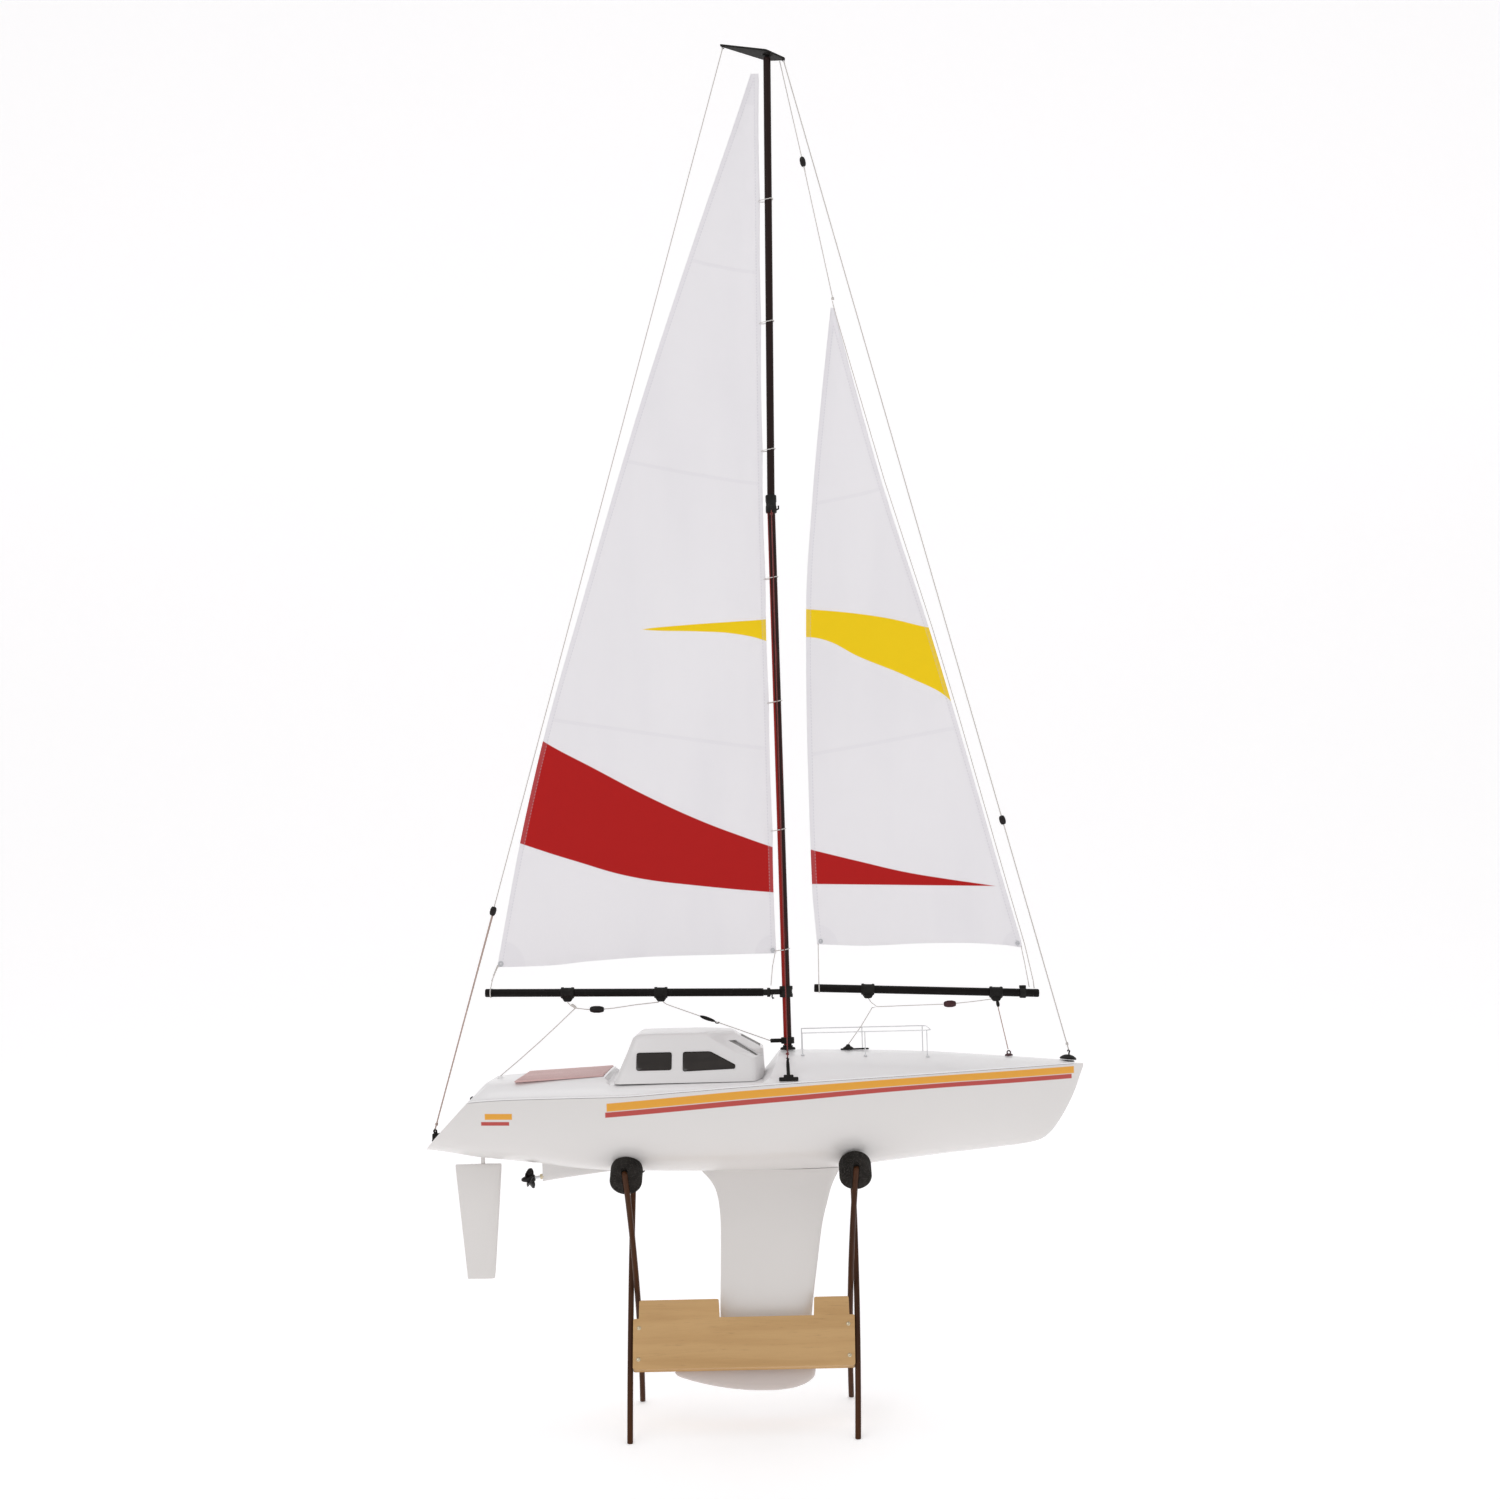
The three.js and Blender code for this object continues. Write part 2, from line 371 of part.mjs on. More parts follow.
function crane() {
  const zAt = (x) => 1385.4 - ((x + 11.7) * 16.7) / 66.6;
  const outline = [[-11.7, 0], [36, -12.6], [54.9, -2], [54.9, 2], [36, 12.6]];
  return join(
    loft([-1.2, 1.2].map((h) => outline.map(([x, y]) => v3(x, y, zAt(x) + h)))),
    rod(v3(36.1, 0, 1358), v3(36.32, 0, 1373.2), 2.6, 12),
  );
}
const SHROUD_LOW = (s) => v3(31.2, s * 83.5, 355.1), SHROUD_TOP = (s) => v3(29, s * 6.8, 899);
const shroud = (s) => rod(SHROUD_LOW(s), SHROUD_TOP(s), 0.9, 8);
const forestay = rod(v3(309.4, 0, 350.6), v3(53.6, 0, 1366.2), CORD_R, 8);
const backstay = rod(v3(-320.2, 0, 285.6), v3(-9, 0, 1382.6), CORD_R, 8);
const along = (p, q, t) => p.clone().lerp(q, t);
function bowsie(p, q, t, len = 9, r = 3.4) {
  const c = along(p, q, t), d = q.clone().sub(p).normalize();
  return turned([[1.2, -len / 2], [r * 0.75, -len / 2], [r, -len / 4], [r, len / 4], [r * 0.75, len / 2], [1.2, len / 2], [1.2, -len / 2]], c, d, 12);
}

// ---------------------------------------------------------------- booms
const BOOM_DIR = v3(-278, 0, 5.7).normalize(), BOOM_FWD = v3(9, 0, 414.4);
const boomAt = (x) => v3(x, 0, BOOM_FWD.z + ((x - BOOM_FWD.x) * BOOM_DIR.z) / BOOM_DIR.x);
const mainBoom = pipe(boomAt(9), boomAt(-268), BOOM_R, BOOM_R - TUBE_WALL, 16);
const axisX = (z) => MAST_FOOT[0] + ((MAST_JOINT[0] - MAST_FOOT[0]) * (z - MAST_FOOT[1])) / (MAST_JOINT[1] - MAST_FOOT[1]);
const gooseneck = join(
  pipe(v3(axisX(409), 0, 409), v3(axisX(420), 0, 420), 6.6, 4.4, 16),
  cut(box(9.4, 26, -2.6, 2.6, 411.6, 417.4), rod(v3(axisX(409), 0, 400), v3(axisX(420), 0, 430), 5.2, 14)),
  rod(boomAt(-6), boomAt(10), BOOM_R - TUBE_WALL - GAP, 14),
);
function ring(at, dir, half = 6.5) {
  const a = at.clone().addScaledVector(dir, -half), b = at.clone().addScaledVector(dir, half);
  const lug = loft([-1.5, 1.5].map((y) => [[-6, -5], [6, -5], [3, -9.2], [-3, -9.2]].map(([x, z]) => v3(at.x + x, y, at.z + z))));
  return cut(join(pipe(a, b, 5.7, 4.35, 16), lug), rod(v3(at.x, -4, at.z - 7.2), v3(at.x, 4, at.z - 7.2), 0.9, 8));
}
const boomRingAft = ring(boomAt(-186), BOOM_DIR), boomRingFwd = ring(boomAt(-93), BOOM_DIR);
const VANG_A = v3(-87.5, 0, 404.6), VANG_B = v3(13.2, 0, 367.0);
const vang = join(rod(VANG_A, VANG_B, 0.8, 8), rod(along(VANG_A, VANG_B, 0.32), along(VANG_A, VANG_B, 0.46), 1.9, 10));
const vangCollar = join(pipe(v3(axisX(363), 0, 363.2), v3(axisX(369), 0, 369.6), 6.6, 4.4, 16), cut(box(14.4, 27, -2, 2, 364.2, 368.6), rod(v3(axisX(363), 0, 355), v3(axisX(369), 0, 380), 5.2, 14)));

const JB_A = v3(59.3, 0, 417.3), JB_F = v3(282.1, 0, 407.1), JB_DIR = JB_F.clone().sub(JB_A).normalize();
const jbAt = (x) => JB_A.clone().lerp(JB_F, (x - JB_A.x) / (JB_F.x - JB_A.x));
const jibBoom = pipe(JB_A, JB_F, BOOM_R, BOOM_R - TUBE_WALL, 16);
const jibRingAft = ring(jbAt(112.6), JB_DIR);
const jibSwivel = join(
  cut(pipe(jbAt(233), jbAt(246), 5.7, 4.35, 16)),
  loft([-1.5, 1.5].map((y) => [[234, 404.6], [246, 404.4], [242.6, 400], [237.4, 400]].map(([x, z]) => v3(x, y, z)))),
  rod(v3(240, 0, 401.5), v3(240.6, 0, 394), 1.6, 8),
  rod(v3(240.5, 0, 396), v3(249.8, 0, 352.2), CORD_R, 8),
);

// ---------------------------------------------------------------- sails: curved plates between luff and leech
const MAIN_LUFF = linear([[452, 22.6], [605, 22.0], [807, 21.4], [904, 21.3], [1012, 22.4], [1220, 25.4], [1354, 27.2]]);
const MAIN_LEECH = curve([[445, -256], [566.6, -231.5], [673.5, -205.5], [802, -167], [1016, -100.2], [1158, -51.2], [1349, 17.5], [1354, 19.2]]);
const JIB_LUFF = linear([[455, 267.2], [515, 251.8], [691, 207.5], [774, 185.5], [926.7, 141.6], [1106, 97.6]]);
const JIB_LEECH = curve([[460, 63.5], [519.4, 60], [655, 59], [796, 61.4], [908, 70.6], [1020, 83.5], [1106, 94.8]]);
const belly = (s, h, depth) => depth * 4 * Math.pow(s, 0.75) * Math.pow(1 - s, 1.0) * 0.92 * Math.pow(Math.max(0, 1 - h), 0.45);
function sail(luff, leech, zs, footLow, footHigh, depth, z0, z1) {
  const cols = 8, grid = [];
  for (const z of zs) {
    const h = (z - z0) / (z1 - z0), row = [];
    for (let i = 0; i <= cols; i++) {
      const s = i / cols, x = luff(z) + (leech(z) - luff(z)) * s;
      // The foot row follows the curved foot.
      const zz = z === zs[0] ? footLow(s) : z;
      row.push([x, belly(s, h, depth), zz]);
    }
    grid.push(row);
  }
  // Each row becomes a closed ring: near side out, far side back.
  return loft(grid.map((row) => [...row.map(([x, y, z]) => v3(x, y - SAIL_T / 2, z)), ...[...row].reverse().map(([x, y, z]) => v3(x, y + SAIL_T / 2, z))]));
}
const mainsail = sail(MAIN_LUFF, MAIN_LEECH, [452, 510, 590, 680, 780, 880, 980, 1080, 1180, 1270, 1354], (s) => 453 - 7.2 * s + 3.2 * Math.sin(Math.PI * s) * 0, null, 11, 452, 1354);
const jibSail = sail(JIB_LUFF, JIB_LEECH, [459, 520, 600, 690, 780, 870, 960, 1040, 1106], (s) => 456 + 6 * s, null, 9, 459, 1106);
const jibStay = cord([v3(49.4, 0, 1366.4), v3(70, 0, 1261), v3(97.4, 0, 1114), v3(103.2, 0, 1092), v3(145.4, 0, 926.7), v3(189.4, 0, 774), v3(211.4, 0, 691), v3(255.6, 0, 515), v3(271.4, 0, 452), v3(277.6, 0, 420)], 0.6, 6, 36);

// ---------------------------------------------------------------- running rigging
const mainsheet = cord([v3(-254, 0, 338.6), v3(-215, 0, 373), v3(-179, 0, 402.6)], 0.7, 6, 6);
const jibSheet = cord([v3(92, 0, 362.2), v3(104, 0, 379), v3(116.4, 0, 396.6)], 0.6, 6, 6);

// ---------------------------------------------------------------- stand
const floorCut = box(-300, 300, -200, 200, -60, 0);
// s = -1: foot to starboard, pad to port. s = 1: foot to port, pad to starboard.
function legX([x0, x1, x2], z) {
  const a = LEG_CROSS_Z, b = 241;
  return (x0 * (z - a) * (z - b)) / (a * b) + (x1 * z * (z - b)) / (a * (a - b)) + (x2 * z * (z - a)) / (b * (b - a));
}
const legAt = (x, s, z) => v3(legX(x, z), s * LEG_SLOPE * (LEG_CROSS_Z - z), z);
function leg(x, s) {
  return cut(cord([-14, 40, 85, 126.2, 170, 210, 251].map((z) => legAt(x, s, z)), DOWEL_R, 12, 12), floorCut);
}
const padNormal = (s) => v3(0, s, LEG_SLOPE).normalize();
// Foam pad on the inner face of a leg's top end, pressed to the shape of the hull.
function pad(x, s) {
  const c = legAt(x, s, 241), n = padNormal(s);
  const base = c.clone().addScaledVector(n, DOWEL_R + GAP - 4.2);
  const body = turned([[0, 0], [PAD_R - 2.5, 0], [PAD_R, 2.5], [PAD_R, 20], [PAD_R - 3, 23], [0, 23]], base, n, 18);
  return cut(body, cord([195, 225, 255, 290].map((z) => legAt(x, s, z)), DOWEL_R + GAP, 12, 6), hullGrown);
}
function board() {
  const u = v3(0, LEG_SLOPE, 1).normalize(), n = v3(0, 1, -LEG_SLOPE).normalize();
  const top = v3(0, -LEG_SLOPE * (LEG_CROSS_Z - 115.3), 115.3), W = 67, T = 8;
  const edge = (leg, side, z) => legX(leg, z) + side * (DOWEL_R + GAP + 0.15), zb = 58.7;
  const x0 = edge(LEG_A_X[0], 1, 115), x0b = edge(LEG_A_X[0], 1, zb), x1 = edge(LEG_A_X[1], -1, 115), x1b = edge(LEG_A_X[1], -1, zb), nx0 = -42.8, nx1 = 51.8, d = 18.5;
  // corner notches clear the other pair of dowels
  const cx0 = LEG_B_X[0][1] + DOWEL_R + 0.4, cx1 = LEG_B_X[1][1] - DOWEL_R - 0.4;
  const mix = (a, b, t) => a + (b - a) * t;
  const outline = [[mix(x0, x0b, d / W), -d], [cx0, -d], [cx0, 0], [nx0, 0], [nx0 + 0.8, -d], [nx1 - 0.8, -d], [nx1, 0], [cx1, 0], [cx1, -d], [mix(x1, x1b, d / W), -d], [x1b, -W], [x0b, -W]];
  return loft([-T / 2, T / 2].map((t) => outline.map(([x, w]) => v3(x, 0, 0).add(top).addScaledVector(u, w).addScaledVector(n, t))));
}

// ---------------------------------------------------------------- materials
const material = (color, roughness, metalness = 0, opacity = 1) => new THREE.MeshStandardMaterial({ color, roughness, metalness, opacity, transparent: opacity < 1 });
const white = material(0xe6e3e0, 0.28), cloth = material(0xeeeaf0, 0.55), black = material(0x17130f, 0.35), foam = material(0x1c1916, 0.8);
const anodised = material(0x2a2020, 0.3, 0.6), tint = material(0x2b2622, 0.12), teak = material(0xc19d9f, 0.6), dowel = material(0x5a3318, 0.5);
const wood = material(0xc39d6d, 0.6), brass = material(0xb89b55, 0.35, 0.9), steel = material(0xb9bcc0, 0.3, 0.9), redCord = material(0x7c1d18, 0.7);
const paleCord = material(0xd9d3cc, 0.7), blue = material(0x2d4c8a, 0.5), green = material(0x3d6b4a, 0.5), wireWhite = material(0xdfe1e4, 0.3);

// ---------------------------------------------------------------- assembly
const yacht = new THREE.Group();
const bodies = {};
for (const name of ["stand", "boat", "cabin", "main_rig", "jib_rig", "rudder_group", "drive", "radio_links"]) {
  bodies[name] = new THREE.Group();
  yacht.add(bodies[name]);
}
function add(group, name, geo, mat, place) {
  const g = bare(geo);
  g.computeVertexNormals();
  const mesh = new THREE.Mesh(g, mat);
  mesh.name = name;
  if (place) mesh.position.copy(place);
  bodies[group].add(mesh);
}

LEG_A_X.forEach((x, i) => add("stand", ["leg_a_aft", "leg_a_fwd"][i], leg(x, -1), dowel));
LEG_B_X.forEach((x, i) => add("stand", ["leg_b_aft", "leg_b_fwd"][i], leg(x, 1), dowel));
LEG_A_X.forEach((x, i) => add("stand", ["pad_aft_port", "pad_fwd_port"][i], pad(x, -1), foam));
LEG_B_X.forEach((x, i) => add("stand", ["pad_aft_stbd", "pad_fwd_stbd"][i], pad(x, 1), foam));
add("stand", "stand_board", board(), wood);

add("boat", "hull_shell", hullShell, white);
add("boat", "deck", deck, white);
add("boat", "cockpit_panel", cockpitPanel, teak);
add("boat", "keel_fin", keelFin, white);
add("boat", "ballast_bulb", ballastBulb, white);
add("boat", "stern_tube", sternTube, brass);
add("boat", "motor", motor, steel);
add("boat", "servo_tray", servoTray, wood);
add("boat", "rudder_servo", servo(SERVO.rudder), black);
add("boat", "sail_servo", servo(SERVO.sail), black);
add("boat", "receiver", receiver, blue);
add("boat", "battery_pack", battery, green);
add("boat", "bow_plate", bowPlate, black);
add("boat", "stern_plate", sternPlate, black);
add("boat", "chainplate_stbd", chainplate(-1), black);
add("boat", "chainplate_port", chainplate(1), black);
add("boat", "jib_deck_eye", jibEye, black);
add("boat", "sheet_fairlead", fairlead, black);
add("boat", "guard_rail", guardRail(), wireWhite);
add("boat", "mast_step", mastStep, black);
add("boat", "mast_lower", mastLower, anodised);
add("boat", "mast_ferrule", mastFerrule, black);
add("boat", "mast_upper", mastUpper, anodised);
add("boat", "masthead_crane", crane(), black);
add("boat", "forestay", forestay, paleCord);
add("boat", "backstay", backstay, redCord);
add("boat", "shroud_stbd", shroud(-1), redCord);
add("boat", "shroud_port", shroud(1), redCord);

add("cabin", "cabin_cover", cabinCover, white);
add("cabin", "window_liner", windowLiner, tint);

add("main_rig", "main_boom", mainBoom, anodised);
add("main_rig", "gooseneck", gooseneck, black);
add("main_rig", "boom_ring_aft", boomRingAft, black);
add("main_rig", "boom_ring_fwd", boomRingFwd, black);
add("main_rig", "vang", vang, paleCord);
add("main_rig", "vang_collar", vangCollar, black);
add("main_rig", "mainsail", mainsail, cloth);

add("jib_rig", "jib_boom", jibBoom, anodised);
add("jib_rig", "jib_ring_aft", jibRingAft, black);
add("jib_rig", "jib_swivel", jibSwivel, black);
add("jib_rig", "jib_sail", jibSail, cloth);
add("jib_rig", "jib_stay", jibStay, paleCord);

add("rudder_group", "rudder_blade", rudderBlade, white);
add("rudder_group", "tiller_arm", tillerArm, black);
add("drive", "propeller", propeller(), black);
add("drive", "prop_shaft", propShaft, steel);
add("radio_links", "rudder_horn", horn(SERVO.rudder, 16.5), black);
add("radio_links", "rudder_pushrod", pushrod, steel);
add("radio_links", "sail_arm", horn(SERVO.sail, 34), black);
add("boat", "mainsheet", mainsheet, paleCord);
add("boat", "jib_sheet", jibSheet, paleCord);

export default yacht;
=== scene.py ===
"""Looks for the model sailing yacht on its stand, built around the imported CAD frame."""
import math

import bpy
from mathutils import Matrix, Vector


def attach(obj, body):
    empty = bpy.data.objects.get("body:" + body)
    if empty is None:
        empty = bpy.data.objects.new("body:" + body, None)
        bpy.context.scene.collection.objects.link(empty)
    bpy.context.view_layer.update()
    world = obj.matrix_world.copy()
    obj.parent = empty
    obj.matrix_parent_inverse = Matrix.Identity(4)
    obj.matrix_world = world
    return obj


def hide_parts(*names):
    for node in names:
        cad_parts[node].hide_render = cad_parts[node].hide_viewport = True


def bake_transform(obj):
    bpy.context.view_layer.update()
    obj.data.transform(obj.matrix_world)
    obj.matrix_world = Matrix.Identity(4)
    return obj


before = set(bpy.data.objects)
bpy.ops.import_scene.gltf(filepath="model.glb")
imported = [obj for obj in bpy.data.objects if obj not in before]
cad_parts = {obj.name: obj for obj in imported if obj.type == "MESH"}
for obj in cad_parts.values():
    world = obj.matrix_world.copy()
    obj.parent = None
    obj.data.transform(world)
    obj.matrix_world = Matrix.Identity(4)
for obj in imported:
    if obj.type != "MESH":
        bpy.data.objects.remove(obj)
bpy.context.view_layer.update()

MM = 0.001

# ------------------------------------------------------------------ camera, light, stage
cam_data = bpy.data.cameras.new("camera")
cam_data.lens, cam_data.sensor_width = 48.0, 36.0
cam_data.clip_end = 50
cam = bpy.data.objects.new("camera", cam_data)
bpy.context.scene.collection.objects.link(cam)
R, U, F = (0.99957597, 0.01595136, -0.02436032), (0.0255088, -0.07626742, 0.99676105), (-0.01404179, 0.9969598, 0.07664198)
cam.matrix_world = Matrix(((R[0], U[0], -F[0], 0.029639), (R[1], U[1], -F[1], -2.0), (R[2], U[2], -F[2], 0.502262), (0, 0, 0, 1)))
bpy.context.scene.camera = cam
bpy.context.scene.view_settings.view_transform = "Standard"


def area_light(name, at, to, size, power, colour=(1, 1, 1)):
    d = bpy.data.lights.new(name, "AREA")
    d.shape, d.size, d.energy, d.color = "SQUARE", size, power, colour
    o = bpy.data.objects.new(name, d)
    o.location = at
    o.rotation_euler = (Vector(to) - Vector(at)).to_track_quat("-Z", "Y").to_euler()
    bpy.context.scene.collection.objects.link(o)


area_light("key", (-1.6, -2.4, 3.4), (0, 0, 0.5), 1.8, 17.5)
area_light("fill", (2.6, -2.4, 1.6), (0, 0, 0.5), 2.4, 4.4)
area_light("top", (0, 0.4, 3.6), (0, 0, 0.4), 2.2, 13)
world = bpy.data.worlds.new("studio")
bpy.context.scene.world = world
world.use_nodes = True
world.node_tree.nodes["Background"].inputs[0].default_value = (1.0, 0.992, 0.996, 1)
world.node_tree.nodes["Background"].inputs[1].default_value = 0.66


# ------------------------------------------------------------------ materials
class Mat:
    """A principled material with helpers to add procedural detail in the object's own coordinates."""

    def __init__(self, name, colour, rough=0.5, metal=0.0, spec=0.5, coat=0.0, coat_rough=0.1, sheen=0.0):
        self.m = bpy.data.materials.new(name)
        self.m.use_nodes = True
        self.t = self.m.node_tree
        self.b = self.t.nodes["Principled BSDF"]
        i = self.b.inputs
        i["Base Color"].default_value = (*colour, 1)
        i["Roughness"].default_value = rough
        i["Metallic"].default_value = metal
        i["Specular IOR Level"].default_value = spec
        i["Coat Weight"].default_value = coat
        i["Coat Roughness"].default_value = coat_rough
        i["Sheen Weight"].default_value = sheen
        self.colour = None
        self.height = None
        self.base = colour
        self.coord = self.t.nodes.new("ShaderNodeTexCoord").outputs["Object"]

    def n(self, kind, **values):
        node = self.t.nodes.new("ShaderNode" + kind)
        for k, v in values.items():
            if hasattr(node, k):
                setattr(node, k, v)
        return node

    def link(self, a, b):
        self.t.links.new(a, b)

    def put(self, socket, value):
        if hasattr(value, "is_linked") or hasattr(value, "links"):
            self.link(value, socket)
        else:
            socket.default_value = value

    def math(self, op, a, b=0.0, c=0.0, clamp=False):
        x = self.n("Math", operation=op, use_clamp=clamp)
        for s, v in zip(x.inputs, (a, b, c)):
            self.put(s, v)
        return x.outputs[0]

    def xyz(self):
        if not hasattr(self, "_xyz"):
            s = self.n("SeparateXYZ")
            self.link(self.coord, s.inputs[0])
            self._xyz = s.outputs
        return self._xyz

    def noise(self, scale, detail=3.0, stretch=(1, 1, 1), rough=0.55, distort=0.0):
        mp = self.n("Mapping")
        self.link(self.coord, mp.inputs[0])
        mp.inputs["Scale"].default_value = stretch
        x = self.n("TexNoise")
        self.link(mp.outputs[0], x.inputs["Vector"])
        x.inputs["Scale"].default_value = scale
        x.inputs["Detail"].default_value = detail
        x.inputs["Roughness"].default_value = rough
        x.inputs["Distortion"].default_value = distort
        return x.outputs[0]

    def wave(self, scale, direction="X", distort=0.0, stretch=(1, 1, 1), detail=0.0, kind="BANDS"):
        mp = self.n("Mapping")
        self.link(self.coord, mp.inputs[0])
        mp.inputs["Scale"].default_value = stretch
        x = self.n("TexWave", wave_type=kind, bands_direction=direction)
        self.link(mp.outputs[0], x.inputs["Vector"])
        x.inputs["Scale"].default_value = scale
        x.inputs["Distortion"].default_value = distort
        x.inputs["Detail"].default_value = detail
        return x.outputs[1]

    def mix(self, fac, a, b):
        """Colour a to b by fac."""
        x = self.n("Mix", data_type="RGBA")
        self.put(x.inputs[0], fac)
        for s, v in ((x.inputs[6], a), (x.inputs[7], b)):
            self.put(s, (*v, 1) if isinstance(v, tuple) and len(v) == 3 else v)
        return x.outputs[2]

    def now(self):
        return self.colour if self.colour is not None else self.base

    def over(self, fac, colour):
        self.colour = self.mix(fac, self.now(), colour)

    def ramp(self, value, low, high):
        x = self.n("MapRange", interpolation_type="SMOOTHSTEP", clamp=True)
        self.put(x.inputs["Value"], value)
        self.put(x.inputs["From Min"], low)
        self.put(x.inputs["From Max"], high)
        return x.outputs[0]

    def scale_to(self, value, low, high):
        x = self.n("MapRange", clamp=True)
        self.put(x.inputs["Value"], value)
        x.inputs["To Min"].default_value = low
        x.inputs["To Max"].default_value = high
        return x.outputs[0]

    def vary(self, scale, amount, tint=None, **kw):
        """Colour drifts by amount towards a darker tint of itself."""
        n = self.ramp(self.noise(scale, **kw), 0.32, 0.7)
        dark = tint or tuple(c * (1 - amount) for c in (self.base if self.colour is None else self.base))
        self.colour = self.mix(self.math("MULTIPLY", n, 1.0 if tint is None else amount), self.now(), dark) if self.colour is None or tint else self.mix(self.math("MULTIPLY", n, amount), self.now(), (0.0, 0.0, 0.0))

    def gloss(self, scale, low, high, **kw):
        self.link(self.scale_to(self.noise(scale, **kw), low, high), self.b.inputs["Roughness"])

    def bump(self, height, strength, distance):
        self.height = (self.height or []) + [(height, strength, distance)]

    def done(self):
        if self.colour is not None:
            self.link(self.colour, self.b.inputs["Base Color"])
        last = None
        for h, s, d in self.height or []:
            x = self.n("Bump")
            x.inputs["Strength"].default_value = s
            x.inputs["Distance"].default_value = d
            self.put(x.inputs["Height"], h)
            if last is not None:
                self.link(last, x.inputs["Normal"])
            last = x.outputs[0]
        if last is not None:
            self.link(last, self.b.inputs["Normal"])
        return self.m

    def line(self, points):
        """A value that follows points of (x, z) in mm as a function of the object's x: piecewise, in metres."""
        xs = [p[0] for p in points]
        zs = [p[1] for p in points]
        x0, x1, z0, z1 = min(xs), max(xs), min(zs) - 1, max(zs) + 1
        t = self.n("MapRange", clamp=True)
        self.link(self.xyz()[0], t.inputs["Value"])
        t.inputs["From Min"].default_value, t.inputs["From Max"].default_value = x0 * MM, x1 * MM
        fc = self.n("FloatCurve")
        c = fc.mapping.curves[0]
        pts = sorted(points)
        for k, (x, z) in enumerate(pts):
            u, v = (x - x0) / (x1 - x0), (z - z0) / (z1 - z0)
            if k == 0:
                c.points[0].location = (u, v)
            elif k == len(pts) - 1:
                c.points[-1].location = (u, v)
            else:
                c.points.new(u, v)
        fc.mapping.update()
        self.link(t.outputs[0], fc.inputs["Value"])
        out = self.n("MapRange", clamp=False)
        self.link(fc.outputs[0], out.inputs["Value"])
        out.inputs["To Min"].default_value, out.inputs["To Max"].default_value = z0 * MM, z1 * MM
        return out.outputs[0]

    def band(self, top, bottom, soft=0.0004):
        """1 between two lines, 0 outside."""
        z = self.xyz()[2]
        up = self.ramp(self.math("SUBTRACT", z, bottom), -soft, soft)
        down = self.ramp(self.math("SUBTRACT", top, z), -soft, soft)
        return self.math("MULTIPLY", up, down)

    def between(self, low, high, axis=0, soft=0.0004):
        v = self.xyz()[axis]
        a = self.ramp(v, low * MM - soft, low * MM + soft)
        b = self.math("SUBTRACT", 1.0, self.ramp(v, high * MM - soft, high * MM + soft))
        return self.math("MULTIPLY", a, b)


ORANGE, RED = (0.78, 0.35, 0.012), (0.47, 0.040, 0.030)
WHITE = (0.745, 0.725, 0.712)


def gelcoat(name, colour=WHITE, rough=(0.30, 0.33), stripes=False, tint=(0.68, 0.66, 0.64)):
    m = Mat(name, colour, rough=0.28, coat=0.35, coat_rough=0.12)
    m.over(m.math("MULTIPLY", m.noise(5, 2), 0.4), tint)
    if stripes:
        top = m.line([(-290, 305.6), (-142, 316.2), (32.7, 328.3), (166.6, 333.6), (250, 334.8), (320, 335.2)])
        bot = m.line([(-290, 292.5), (-142, 302.9), (32.5, 315.2), (166.3, 322.0), (250, 323.0), (320, 323.3)])
        h = m.math("SUBTRACT", top, bot)
        mid_hi = m.math("SUBTRACT", top, m.math("MULTIPLY", h, 0.575))
        mid_lo = m.math("SUBTRACT", top, m.math("MULTIPLY", h, 0.625))
        along = m.between(-142, 313)
        m.over(m.math("MULTIPLY", m.band(top, mid_hi), along), ORANGE)
        m.over(m.math("MULTIPLY", m.band(mid_lo, bot), m.between(-143.5, 310.5)), RED)
        m.over(m.math("MULTIPLY", m.band(m.line([(-262, 307.2), (-232, 307.2)]), m.line([(-262, 301.5), (-232, 301.5)])), m.between(-261.2, -234.2)), ORANGE)
        m.over(m.math("MULTIPLY", m.band(m.line([(-266, 299.4), (-236, 299.4)]), m.line([(-266, 295.8), (-236, 295.8)])), m.between(-265, -237.2)), RED)
    m.gloss(12, *rough, detail=2)
    m.bump(m.noise(420, 2), 0.02, 0.0001)
    m.bump(m.noise(18, 1), 0.05, 0.0008)
    return m.done()


def plastic(name, colour, rough=(0.32, 0.5), grain=900, coat=0.0, spec=0.5):
    m = Mat(name, colour, coat=coat, spec=spec)
    m.over(m.math("MULTIPLY", m.ramp(m.noise(60, 4), 0.4, 0.8), 0.5), tuple(min(1, c * 1.7 + 0.012) for c in colour))
    m.gloss(90, *rough, detail=5)
    m.bump(m.noise(grain, 2), 0.22, 0.00015)
    return m.done()


def metal(name, colour, rough=(0.2, 0.38), stretch=(1, 1, 1)):
    m = Mat(name, colour, metal=1.0)
    m.over(m.math("MULTIPLY", m.ramp(m.noise(120, 4, stretch=stretch), 0.35, 0.8), 0.4), tuple(c * 0.7 for c in colour))
    m.gloss(200, *rough, stretch=stretch)
    m.bump(m.noise(900, 2, stretch=stretch), 0.12, 0.0001)
    return m.done()


